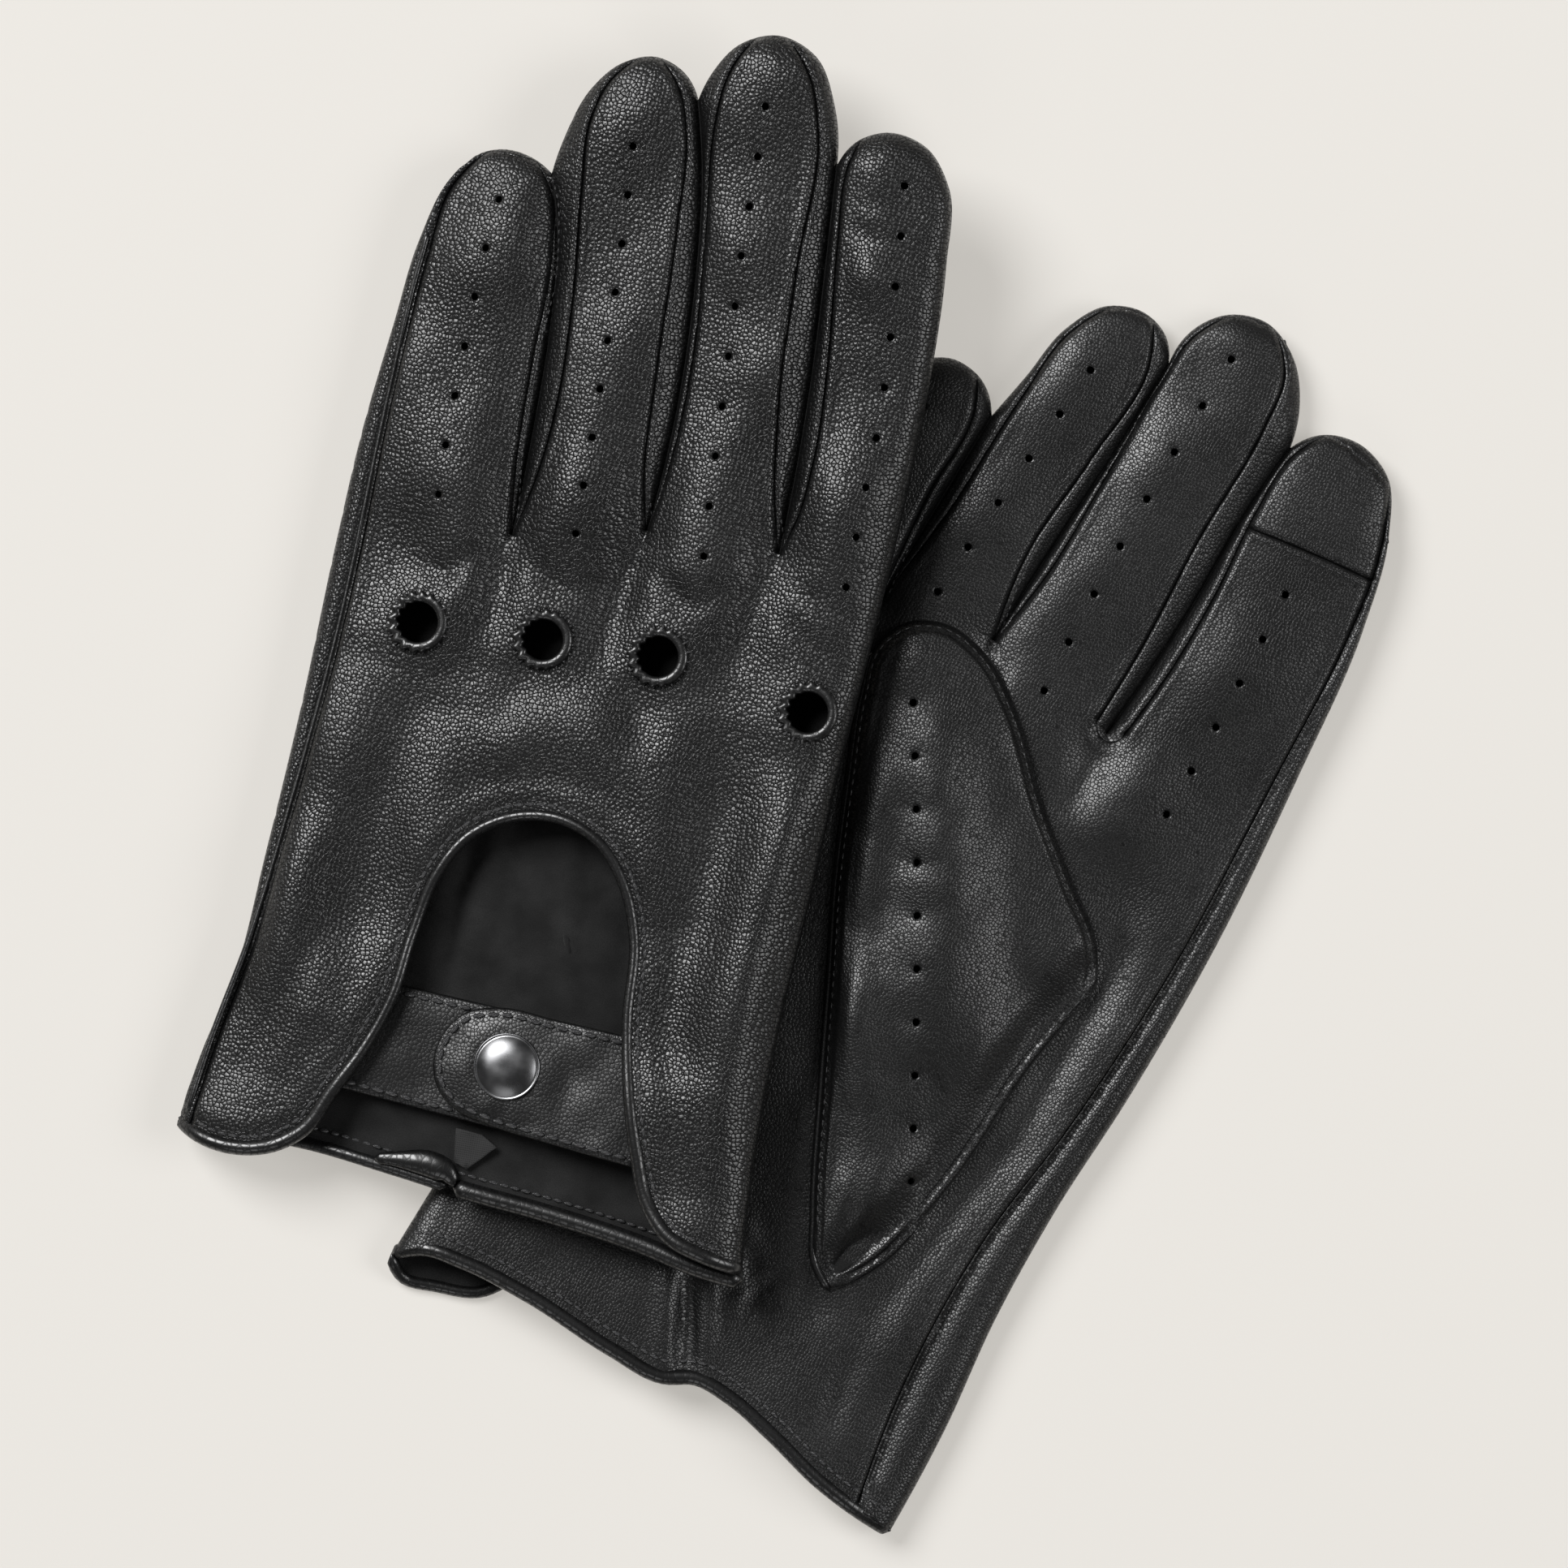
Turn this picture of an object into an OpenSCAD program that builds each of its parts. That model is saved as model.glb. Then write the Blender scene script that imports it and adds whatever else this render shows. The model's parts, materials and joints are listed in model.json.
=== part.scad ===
// A pair of unlined leather driving gloves, laid down as a pair: the right glove rests on its
// back with the palm up, and the left glove lies across it with the back of the hand up.
// Each glove is drawn once in its own flat frame: X runs from the little-finger side to the
// index side, Y runs from the cuff to the fingertips, Z runs from the palm to the back of the
// hand. The right glove is the mirror image of the left one.

/* [Leather] */
// Thickness of the glove leather
leather_t = 1.0; // [0.8:0.1:1.2]
// Thickness of the folded strap leather
strap_t = 1.1; // [0.8:0.1:1.3]
// Width of the bound edge round the wrist opening and the cuff
bind_w = 2.0; // [1.5:0.1:2.4]

/* [Hand size] */
// Length from the cuff line to the finger webs
palm_len = 120; // [112:1:145]
// Width across the cuff
cuff_w = 109; // [104:1:128]
// Width across the wrist, where the glove is narrowest
wrist_w = 103; // [100:1:120]
// Length of each finger from its web to its tip, little finger first
finger_len = [67, 89, 98, 85]; // [55:1:118]
// Width of each flattened fingertip, little finger first
tip_w = [23.5, 22, 24, 24]; // [16:0.5:27]
// Length of the rounded end of a finger
tip_round = 17; // [12:1:24]

/* [How the gloves lie] */
// Width of each finger at its web on the left glove
left_finger_w = [32.5, 24.5, 26, 21.5]; // [20:0.5:38]
// Width of each finger at its web on the right glove
right_finger_w = [25, 22, 27, 34]; // [20:0.5:38]
// Sideways lean of each fingertip on the left glove
left_lean = [1.8, -1.6, -3.4, -0.8]; // [-4:0.1:4]
// Sideways lean of each fingertip on the right glove
right_lean = [-0.5, 3, 0.3, -2]; // [-4:0.1:4]
// Outer thickness of the left glove
left_h = 9; // [8.5:0.1:10]
// Outer thickness of the right glove
right_h = 8; // [7.8:0.1:9]
// Turn of the right glove away from the left one, in degrees
right_turn = 18; // [16:0.5:19]
// Roll of the left glove up onto the right one, in degrees
left_roll = 8.9; // [8.9:0.1:11]
// Height of the middle of the left cuff above the table
left_lift = 12; // [12:0.1:15]

/* [Openings] */
// Radius of a knuckle hole
knuckle_r = 3.9; // [3:0.1:4.4]
// Width of the turned rim round a knuckle hole
knuckle_rim = 1.3; // [0.8:0.1:1.6]
// Radius of the arch at the top of the wrist opening
arch_r = 21.3; // [17:0.1:23]
// Height of the arch centre above the cuff line
arch_y = 46.5; // [42:0.5:50]
// Radius of the hole that leads into the thumb
thumb_hole_r = 8.5; // [6:0.1:10]

/* [Strap and snap] */
// Width of the wrist strap
strap_w = 23; // [18:0.5:26]
// Height of the strap's middle above the cuff line
strap_y = 18.6; // [16:0.1:22]
// Radius of the domed snap cap
cap_r = 6.3; // [5:0.1:7.5]
// Height of the domed snap cap
cap_h = 1.7; // [1.2:0.1:1.7]

/* [Thumb] */
// Length of the thumb from its base seam to its tip
thumb_len = 104; // [90:1:112]
// Outer thickness of the thumb that lies on the right palm
right_thumb_h = 7.2; // [6.4:0.1:8]
// Outer thickness of the thumb pressed flat under the left palm
left_thumb_h = 3.4; // [2.6:0.1:3.4]

/* [Hidden] */
LEFT = 0;
RIGHT = 1;
$fn = 48;
finger_gap = 1.2;
move_gap = 0.3;
shank_gap = 0.05;
finger_w = [left_finger_w, right_finger_w];
lean = [left_lean, right_lean];
glove_h = [left_h, right_h];
thumb_h = [left_thumb_h, right_thumb_h];
web_mid = [2.7, 0];
cuff_mid = -4.5;
wrist_mid = -1.4;
wrist_y = 34;
cuff_drop = [4, 11];
cuff_corner = 12;
knuckle_y = palm_len * 0.7;
left_pitch = -0.6;
left_at = [-40.4, -83];
right_at = [-0.3, -106.6];
leather = "#1d1d1e";
suede = "#151516";
steel = "#77797c";
far = 400;

function sum_to(v, n) = n == 0 ? 0 : v[n - 1] + sum_to(v, n - 1);
function web_left(g) = web_mid[g] - sum_to(finger_w[g], 4) / 2;
function web_right(g) = web_mid[g] + sum_to(finger_w[g], 4) / 2;
function base_x(g, i) = web_left(g) + sum_to(finger_w[g], i) + finger_w[g][i] / 2;
function tip_x(g, i) = base_x(g, i) + lean[g][i];
function tip_y(i) = palm_len + finger_len[i];

// Finger i of glove g: straight tapering sides and a half-elliptical end
function finger_points(g, i) = let (
    half = finger_w[g][i] / 2 - finger_gap / 2,
    shoulder = tip_y(i) - tip_round,
    foot = palm_len - 1
) concat(
    [[base_x(g, i) - half, foot], [base_x(g, i) + half, foot]],
    [for (a = [0:15:180]) [
        tip_x(g, i) + tip_w[i] / 2 * cos(a),
        shoulder + tip_round * sin(a)
    ]]
);

function palm_points(g) = [
    [cuff_mid - cuff_w / 2, -cuff_drop[0]],
    [cuff_mid - cuff_w / 2 + cuff_corner, -cuff_drop[0] - 1],
    [cuff_mid + cuff_w / 2 - cuff_corner, -cuff_drop[1] + 1],
    [cuff_mid + cuff_w / 2, -cuff_drop[1]],
    [wrist_mid + wrist_w / 2, wrist_y],
    [web_right(g) - 2, knuckle_y],
    [web_right(g) - finger_gap / 2, palm_len],
    [web_left(g) + finger_gap / 2, palm_len],
    [web_left(g) + finger_gap / 2, knuckle_y],
    [wrist_mid - wrist_w / 2, wrist_y]
];

module outline(g) {
    polygon(palm_points(g));
    for (i = [0:3])
        polygon(finger_points(g, i));
}

// The opening over the wrist: an arch whose sides flare out to the cuff, by these steps
flare_left = [2, 10.5, 14, 19];
flare_right = [1.5, 7.5, 12, 22];
function keyhole_points() = concat(
    [for (a = [0:15:180]) [arch_r * cos(a), arch_y + arch_r * sin(a)]],
    [
        [-arch_r - flare_left[0], strap_y + strap_w / 2 - 1],
        [-arch_r - flare_left[1], strap_y - strap_w / 2 + 2],
        [-arch_r - flare_left[2], 0],
        [-arch_r - flare_left[3], -cuff_drop[0] - 8],
        [arch_r + flare_right[3], -cuff_drop[1] - 8],
        [arch_r + flare_right[2], 0],
        [arch_r + flare_right[1], strap_y - strap_w / 2 + 1],
        [arch_r + flare_right[0], strap_y + strap_w / 2]
    ]
);

module opened_outline(g) {
    difference() {
        outline(g);
        polygon(keyhole_points());
    }
}

// A strip as wide as the binding along the cuff edge of the glove
module cuff_strip(g) {
    edge = [for (i = [0:3]) palm_points(g)[i]];
    intersection() {
        outline(g);
        polygon(concat(edge, [for (i = [3:-1:0]) edge[i] + [0, bind_w]]));
    }
}

// The strip round the wrist opening, inside the edge of the back panel
module keyhole_strip(g) {
    intersection() {
        outline(g);
        difference() {
            polygon(keyhole_points());
            offset(delta = -bind_w) polygon(keyhole_points());
        }
    }
}

// Round knuckle holes: pattern of four across the back of the hand
function knuckle_at(g) = [
    [base_x(g, 0) + 2, palm_len - 21.6],
    [base_x(g, 1) - 1.5, palm_len - 20.8],
    [base_x(g, 2) - 4.8, palm_len - 20.2],
    [web_right(g) - 4.5 - knuckle_r - knuckle_rim, palm_len - 25.6]
];

module slab(z, t) translate([0, 0, z]) linear_extrude(height = t) children();

// The upright wall of leather round the glove, open at the cuff
module wall_ring(g) {
    difference() {
        outline(g);
        offset(delta = -leather_t) outline(g);
        translate([cuff_mid - cuff_w / 2 + leather_t, -far / 2])
            square([cuff_w - 2 * leather_t, far / 2 + 2]);
    }
}

// The zone between the middle lines of finger i and finger i + 1
module between_fingers(g, i) {
    polygon([
        [base_x(g, i), palm_len - 4],
        [tip_x(g, i), tip_y(i) + 2],
        [tip_x(g, i), far],
        [tip_x(g, i + 1), far],
        [tip_x(g, i + 1), tip_y(i + 1) + 2],
        [base_x(g, i + 1), palm_len - 4]
    ]);
}

module little_finger_zone(g) {
    polygon([
        [base_x(g, 0), -far / 2],
        [base_x(g, 0), palm_len - 4],
        [tip_x(g, 0), tip_y(0) + 2],
        [tip_x(g, 0), far],
        [-far / 2, far],
        [-far / 2, -far / 2]
    ]);
}

module index_zone(g) {
    polygon([
        [base_x(g, 3), -far / 2],
        [far / 2, -far / 2],
        [far / 2, far],
        [tip_x(g, 3), far],
        [tip_x(g, 3), tip_y(3) + 2],
        [base_x(g, 3), palm_len - 4]
    ]);
}

// The index fingertip piece that works a touch screen
patch_len = 23;
module patch_zone(g) {
    translate([base_x(g, 3) - finger_w[g][3] / 2, tip_y(3) - patch_len])
        rotate([0, 0, 3])
            square([finger_w[g][3] + 4, 60]);
}

// Thumb outline, with its base seam along the index side of the palm
thumb_tip_r = 11.5;
thumb_foot = [20.6, 20];
thumb_corner = [36, 88];
thumb_axis_at = [31, 20];
thumb_axis_end = [38.3, 95];
function thumb_tip() = thumb_axis_at + thumb_len * [-0.43, 1.06];
function thumb_points() = concat(
    [thumb_foot, [28, 30], [31.5, 46], [33, 70], thumb_corner, [34.5, 98]],
    [for (a = [30:15:195]) thumb_tip() + thumb_tip_r * [cos(a), sin(a)]],
    [[-18.3, 96], [-3, 64], [11, 31]]
);
thumb_hole_at = [19, 50];

// The left thumb is pushed aside, turned about the middle of its base seam
left_thumb_turn = -20;
thumb_pivot = [28, 60];
module thumb_outline(g) {
    turn = g == LEFT ? left_thumb_turn : 0;
    translate(thumb_pivot)
        rotate([0, 0, turn])
            translate(-thumb_pivot)
                children();
}

// ---- the pieces of one glove ----

module back_panel(g) {
    h = glove_h[g];
    color(leather) union() {
        slab(h - leather_t, leather_t) difference() {
            opened_outline(g);
            cuff_strip(g);
            for (at = knuckle_at(g))
                translate(at) circle(r = knuckle_r + knuckle_rim);
        }
        slab(leather_t, h - 2 * leather_t) intersection() {
            wall_ring(g);
            index_zone(g);
        }
    }
}

module palm_panel(g) {
    color(leather) union() {
        slab(0, leather_t) difference() {
            outline(g);
            cuff_strip(g);
            intersection() {
                patch_zone(g);
                index_finger_zone(g);
            }
            thumb_outline(g) translate(thumb_hole_at) circle(r = thumb_hole_r);
        }
        slab(leather_t, glove_h[g] - 2 * leather_t) intersection() {
            wall_ring(g);
            little_finger_zone(g);
        }
    }
}

module index_finger_zone(g) {
    translate([base_x(g, 3) - finger_w[g][3] / 2, palm_len])
        square([finger_w[g][3] + 10, far]);
}

module touch_patch(g) {
    color(leather) slab(0, leather_t) intersection() {
        outline(g);
        patch_zone(g);
        index_finger_zone(g);
    }
}

module fourchette(g, i) {
    color(leather) slab(leather_t, glove_h[g] - 2 * leather_t) intersection() {
        wall_ring(g);
        between_fingers(g, i);
    }
}

module knuckle_rims(g) {
    color(leather) for (at = knuckle_at(g))
        translate([at.x, at.y, glove_h[g] - leather_t])
            difference() {
                cylinder(r = knuckle_r + knuckle_rim, h = leather_t);
                translate([0, 0, -1]) cylinder(r = knuckle_r, h = leather_t + 2);
            }
}

module keyhole_binding(g) {
    color(leather) slab(glove_h[g] - leather_t, leather_t) difference() {
        keyhole_strip(g);
        translate([-far / 2, -far]) square([far, far - 2]);
    }
}

module back_cuff_binding(g) {
    color(leather) slab(glove_h[g] - leather_t, leather_t) intersection() {
        opened_outline(g);
        cuff_strip(g);
    }
}

module palm_cuff_binding(g) {
    color(leather) slab(0, leather_t) cuff_strip(g);
}

// The left thumb touches its palm; the right one swings, so it keeps a gap
function thumb_top(g) = g == LEFT ? 0 : -move_gap;

module thumb_inner(g) {
    color(leather) slab(thumb_top(g) - leather_t, leather_t) thumb_outline(g)
        difference() {
            polygon(thumb_points());
            translate(thumb_hole_at) circle(r = thumb_hole_r);
        }
}

module thumb_outer(g) {
    low = thumb_top(g) - thumb_h[g];
    color(leather) union() {
        slab(low, leather_t) thumb_outline(g) polygon(thumb_points());
        slab(low + leather_t, thumb_h[g] - 2 * leather_t) thumb_outline(g)
            difference() {
                polygon(thumb_points());
                offset(delta = -leather_t) polygon(thumb_points());
            }
    }
}

// Strap levels: the tab lies under the lobes of the back panel, the base under the tab
snap_at = [0.6, strap_y + 1];
snap_room = 1.6;
hinge_x = 19.4;
strap_sink = [0, 0.6];
function tab_top(g) = glove_h[g] - leather_t - move_gap - strap_sink[g];
function tab_low(g) = tab_top(g) - strap_t;
function base_top(g) = tab_low(g) - snap_room;
function base_low(g) = base_top(g) - strap_t;
shank_r = 1.2;
socket_r = 3.8;
stud_r = 1.7;
stud_plate = 0.3;
post_plate = 0.4;
base_left = -36.8;
riser_w = 3;
base_right = 9;
root_right = 35;

module strap_base(g) {
    color(leather) union() {
        slab(base_low(g), strap_t) difference() {
            translate([base_left, strap_y - strap_w / 2])
                square([base_right - base_left, strap_w]);
            translate(snap_at) circle(r = shank_r + shank_gap);
        }
        slab(base_top(g), glove_h[g] - leather_t - base_top(g))
            translate([base_left, strap_y - strap_w / 2])
                square([riser_w, strap_w]);
    }
}

module strap_tab(g) {
    color(leather) slab(tab_low(g), strap_t) difference() {
        union() {
            translate([-1, strap_y]) circle(r = strap_w / 2);
            translate([-1, strap_y - strap_w / 2]) square([hinge_x + 1, strap_w]);
        }
        translate(snap_at) circle(r = shank_r + shank_gap);
    }
}

// The sewn end of the tab, beyond the line where the tab folds
module strap_root(g) {
    color(leather) union() {
        slab(tab_low(g), strap_t)
            translate([hinge_x + move_gap, strap_y - strap_w / 2])
                square([root_right - hinge_x - move_gap, strap_w]);
        slab(tab_top(g), glove_h[g] - leather_t - tab_top(g))
            translate([root_right - riser_w, strap_y - strap_w / 2])
                square([riser_w, strap_w]);
    }
}

module snap_cap(g) {
    dome_r = (cap_r * cap_r + cap_h * cap_h) / (2 * cap_h);
    color(steel) translate([snap_at.x, snap_at.y, tab_top(g)]) union() {
        intersection() {
            translate([0, 0, cap_h - dome_r]) sphere(r = dome_r, $fn = 96);
            cylinder(r = cap_r, h = cap_h + 1);
        }
        translate([0, 0, -strap_t]) cylinder(r = shank_r, h = strap_t);
    }
}

module snap_socket(g) {
    low = base_top(g) + stud_plate + shank_gap * 2;
    color(steel) translate([snap_at.x, snap_at.y, low]) difference() {
        cylinder(r = socket_r, h = tab_low(g) - low);
        translate([0, 0, -1]) cylinder(r = stud_r + move_gap, h = snap_room + 2);
    }
}

module snap_stud(g) {
    color(steel) translate([snap_at.x, snap_at.y, base_top(g)]) union() {
        cylinder(r = socket_r, h = stud_plate);
        cylinder(r = stud_r, h = snap_room - move_gap);
    }
}

module snap_post(g) {
    color(steel) translate([snap_at.x, snap_at.y, base_low(g) - post_plate]) union() {
        cylinder(r = socket_r, h = post_plate);
        cylinder(r = shank_r, h = post_plate + strap_t);
    }
}

// Narrow elastic sewn across the inside of the palm, below the strap
elastic_at = [-14, 14];
elastic_size = [30, 5];
elastic_t = 0.5;
module wrist_elastic(g) {
    color(suede) slab(leather_t, elastic_t)
        translate(elastic_at) square(elastic_size);
}

// Plain woven tag sewn inside the palm just above the cuff
tag_at = [-10, 0];
tag_size = [8, 12];
tag_t = 0.4;
module size_tag() {
    color("dimgray") slab(leather_t, tag_t)
        translate(tag_at) square(tag_size);
}

module on_left() {
    translate([left_at.x, left_at.y, left_lift])
        rotate([left_pitch, -left_roll, 0])
            children();
}

module on_right() {
    translate([right_at.x, right_at.y, right_h])
        rotate([0, 0, -right_turn])
            mirror([0, 0, 1])
                children();
}

PIECES = [
    "back_panel", "palm_panel", "fourchette_index_middle", "fourchette_middle_ring",
    "fourchette_ring_little", "touch_patch", "thumb_inner", "thumb_outer",
    "knuckle_rims", "keyhole_binding", "back_cuff_binding", "palm_cuff_binding",
    "strap_base", "strap_tab", "strap_root", "snap_cap", "snap_socket", "snap_stud",
    "snap_post", "wrist_elastic"
];

module piece(name, g) {
    if (name == "back_panel") back_panel(g);
    if (name == "palm_panel") palm_panel(g);
    if (name == "fourchette_index_middle") fourchette(g, 2);
    if (name == "fourchette_middle_ring") fourchette(g, 1);
    if (name == "fourchette_ring_little") fourchette(g, 0);
    if (name == "touch_patch") touch_patch(g);
    if (name == "thumb_inner") thumb_inner(g);
    if (name == "thumb_outer") thumb_outer(g);
    if (name == "knuckle_rims") knuckle_rims(g);
    if (name == "keyhole_binding") keyhole_binding(g);
    if (name == "back_cuff_binding") back_cuff_binding(g);
    if (name == "palm_cuff_binding") palm_cuff_binding(g);
    if (name == "strap_base") strap_base(g);
    if (name == "strap_tab") strap_tab(g);
    if (name == "strap_root") strap_root(g);
    if (name == "snap_cap") snap_cap(g);
    if (name == "snap_socket") snap_socket(g);
    if (name == "snap_stud") snap_stud(g);
    if (name == "snap_post") snap_post(g);
    if (name == "wrist_elastic") wrist_elastic(g);
}

for (p = PIECES)
    on_left() piece(p, LEFT);
for (p = PIECES)
    on_right() piece(p, RIGHT);
on_left() size_tag();  // left_size_tag
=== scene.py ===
"""A pair of black leather driving gloves: the right glove lies palm up, the left one across it.

Each glove is shaped in its own flat frame, in millimetres: x runs from the little-finger side to
the index side, y from the cuff to the fingertips, and h is the height above the glove's own
underside. Two sheets make a glove, an upper and a lower one. Both are flat patterns with real
seams and holes, raised by a height formula, then cut along the seams into the leather pieces.
"""

import json
import math

import bpy
import numpy as np
from mathutils import Matrix, Vector
from mathutils.geometry import delaunay_2d_cdt


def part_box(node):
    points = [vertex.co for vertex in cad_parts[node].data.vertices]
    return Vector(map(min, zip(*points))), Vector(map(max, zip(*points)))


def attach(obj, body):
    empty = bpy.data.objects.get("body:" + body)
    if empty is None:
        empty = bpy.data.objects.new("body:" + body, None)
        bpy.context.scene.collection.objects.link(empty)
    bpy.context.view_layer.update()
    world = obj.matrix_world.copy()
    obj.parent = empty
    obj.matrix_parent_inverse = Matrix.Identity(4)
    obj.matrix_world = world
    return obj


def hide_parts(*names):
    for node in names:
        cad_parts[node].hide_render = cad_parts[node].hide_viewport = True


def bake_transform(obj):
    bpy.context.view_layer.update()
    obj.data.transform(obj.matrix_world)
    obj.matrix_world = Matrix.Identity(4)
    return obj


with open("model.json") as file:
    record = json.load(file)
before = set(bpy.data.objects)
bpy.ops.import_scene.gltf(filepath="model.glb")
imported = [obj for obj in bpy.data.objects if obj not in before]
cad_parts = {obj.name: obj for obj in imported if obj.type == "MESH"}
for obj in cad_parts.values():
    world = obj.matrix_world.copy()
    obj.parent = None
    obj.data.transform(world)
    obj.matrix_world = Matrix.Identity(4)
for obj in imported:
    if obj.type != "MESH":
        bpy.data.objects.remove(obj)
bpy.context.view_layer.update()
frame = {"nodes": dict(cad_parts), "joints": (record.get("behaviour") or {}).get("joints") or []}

MM = 0.001
# the leather's thickness, then the mesh's spacing and its rows beside each seam
LEATHER = 1.0
SPACING = 1.6
ROWS = (0.2, 0.5, 0.95, 1.6, 2.5, 3.6)
ROW_RISE = 0.866
# how thick each glove lies, and how it is turned
LEFT_HEIGHT = 9.0
RIGHT_HEIGHT = 8.0
LEFT_ROLL = math.radians(8.9)
LEFT_PITCH = math.radians(-0.6)
RIGHT_TURN = math.radians(-18)
SIDE_SAG = 2.6
# the strap's fold and snap, the knuckle holes and the small punched holes
TAB_HEIGHT = 7.7
HINGE = (19.4, 18.6, TAB_HEIGHT)
SNAP = (0.6, 19.6)
RIM_HOLE = 4.9
DOT_RADIUS = 0.72


# ---- curves and distances, all in millimetres ----


def smooth(points, step=1.2):
    """A smooth curve through the points, as places about every step mm."""
    p = np.array(points, float)
    size = np.linalg.norm(np.diff(p, axis=0), axis=1)
    slope = np.diff(p, axis=0) / size[:, None]
    inner = (slope[:-1] * size[1:, None] + slope[1:] * size[:-1, None]) / (size[1:] + size[:-1])[:, None]
    tangent = np.vstack([2 * slope[0] - inner[0], inner, 2 * slope[-1] - inner[-1]])
    out = []
    for i, length in enumerate(size):
        t = np.linspace(0, 1, max(1, round(length / step)), endpoint=False)[:, None]
        a = (1 + 2 * t) * (1 - t) ** 2 * p[i] + t**2 * (3 - 2 * t) * p[i + 1]
        b = t * (1 - t) ** 2 * tangent[i] + t**2 * (t - 1) * tangent[i + 1]
        out.append(a + b * length)
    out.append(p[-1:])
    return np.vstack(out)


def straight(start, end, step=1.2):
    """Evenly spaced places on a straight line."""
    start, end = np.array(start, float), np.array(end, float)
    count = max(1, round(float(np.hypot(*(end - start))) / step))
    return start + (end - start) * np.linspace(0, 1, count + 1)[:, None]


def polygon(corners, step=1.2):
    """The outline of a straight-sided shape, as places about every step mm."""
    return join(*[straight(a, b, step) for a, b in zip(corners, corners[1:] + corners[:1])])[:-1]


def join(*lines):
    """One line from several that follow each other."""
    out = [lines[0]]
    for line in lines[1:]:
        start = 1 if np.hypot(*(line[0] - out[-1][-1])) < 0.3 else 0
        out.append(line[start:])
    return np.vstack(out)


def circle(centre, radius, count):
    turn = np.linspace(0, 2 * math.pi, count, endpoint=False)
    return np.array(centre) + radius * np.column_stack([np.cos(turn), np.sin(turn)])


def closed(loop):
    return np.vstack([loop, loop[:1]])


def travel(line):
    """How far along a line each of its points is."""
    return np.concatenate([[0], np.cumsum(np.linalg.norm(np.diff(line, axis=0), axis=1))])


def places(line, at):
    """The places on a line at these distances along it."""
    return np.column_stack([np.interp(at, travel(line), line[:, k]) for k in range(line.shape[1])])


def part(line, start, end):
    """The stretch of a line between two shares of its length."""
    length = travel(line)[-1]
    return places(line, np.linspace(start * length, end * length, max(2, int((end - start) * length / 1.2))))


def beside(path, offset):
    """A path moved sideways, to the left of its direction when offset is positive."""
    way = unit(np.gradient(path, axis=0))
    return path + offset * np.column_stack([-way[:, 1], way[:, 0]])


def near(p, line):
    """How far each point is from a line, and how far along the line its nearest place is."""
    gap = np.full(len(p), 1e9)
    along = np.zeros(len(p))
    run = 0.0
    for a, b in zip(line[:-1], line[1:]):
        step = b - a
        length = float(np.hypot(*step))
        if length < 1e-9:
            continue
        t = np.clip((p - a) @ step / length**2, 0, 1)
        d = np.hypot(*(p - a - t[:, None] * step).T)
        closer = d < gap
        gap[closer] = d[closer]
        along[closer] = run + t[closer] * length
        run += length
    return gap, along


def gap_to(p, lines):
    """The distance from each point to the nearest of several lines."""
    gap = np.full(len(p), 1e9)
    for line in lines:
        gap = np.minimum(gap, near(p, line)[0])
    return gap


def inside(p, loop):
    """Whether each point lies inside a closed loop."""
    x, y = p.T
    hit = np.zeros(len(p), bool)
    for (x1, y1), (x2, y2) in zip(loop, np.roll(loop, -1, axis=0)):
        if y1 == y2:
            continue
        hit ^= ((y1 > y) != (y2 > y)) & (x < (x2 - x1) * (y - y1) / (y2 - y1) + x1)
    return hit


def ramp(x, low, high):
    """0 below low, 1 above high, smooth between them."""
    t = np.clip((x - low) / (high - low), 0, 1)
    return t * t * (3 - 2 * t)


def rounded(d, radius, power=2.0):
    """A quarter-round rise from 0 at an edge to 1 at radius from it; a higher power is squarer."""
    t = np.clip(d / radius, 0, 1)
    return np.clip(1 - (1 - t) ** power, 0, 1) ** (1 / power)


def hump(d, width):
    return np.exp(-((d / width) ** 2))


def waves(p, size, seed):
    """Gentle seeded unevenness, about -1 to 1, with bumps of about the given size."""
    rng = np.random.default_rng(seed)
    total = np.zeros(len(p))
    for _ in range(14):
        turn = rng.uniform(0, 2 * math.pi)
        rate = 2 * math.pi / (size * rng.uniform(0.7, 1.6))
        total += np.sin(p @ [rate * math.cos(turn), rate * math.sin(turn)] + rng.uniform(0, 6.28))
    return total / 4


def folds(p, items):
    """The sum of straight soft folds (x1, y1, x2, y2, width, height); a negative height is a crease."""
    total = np.zeros(len(p))
    for x1, y1, x2, y2, width, height in items:
        line = np.array([(x1, y1), (x2, y2)], float)
        length = float(np.hypot(*(line[1] - line[0])))
        gap, along = near(p, line)
        fade = np.sin(np.clip(along / length, 0.02, 0.98) * math.pi) ** 0.7
        total += height * fade * hump(gap, width)
    return total


def unit(v):
    return v / np.maximum(np.linalg.norm(v, axis=-1, keepdims=True), 1e-12)


# ---- where each glove lies ----


def left_turn():
    roll = Matrix.Rotation(-LEFT_ROLL, 3, "Y")
    pitch = Matrix.Rotation(LEFT_PITCH, 3, "X")
    return np.array(roll @ pitch)


def joint_at(name):
    joint = next(j for j in frame["joints"] if j["name"] == name)
    return np.array(joint["pos_m"], float) / MM


LEFT_TURN = left_turn()
LEFT_ORIGIN = joint_at("left_tab_open") - LEFT_TURN @ np.array(HINGE)
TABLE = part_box("right_back_panel")[0].z / MM
RIGHT_TURNED = np.array(Matrix.Rotation(RIGHT_TURN, 3, "Z"))
RIGHT_SNAP = sum(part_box("right_snap_cap"), Vector()) / 2 / MM
RIGHT_ORIGIN = np.array([RIGHT_SNAP.x, RIGHT_SNAP.y, 0]) - RIGHT_TURNED @ np.array([*SNAP, 0])


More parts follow.
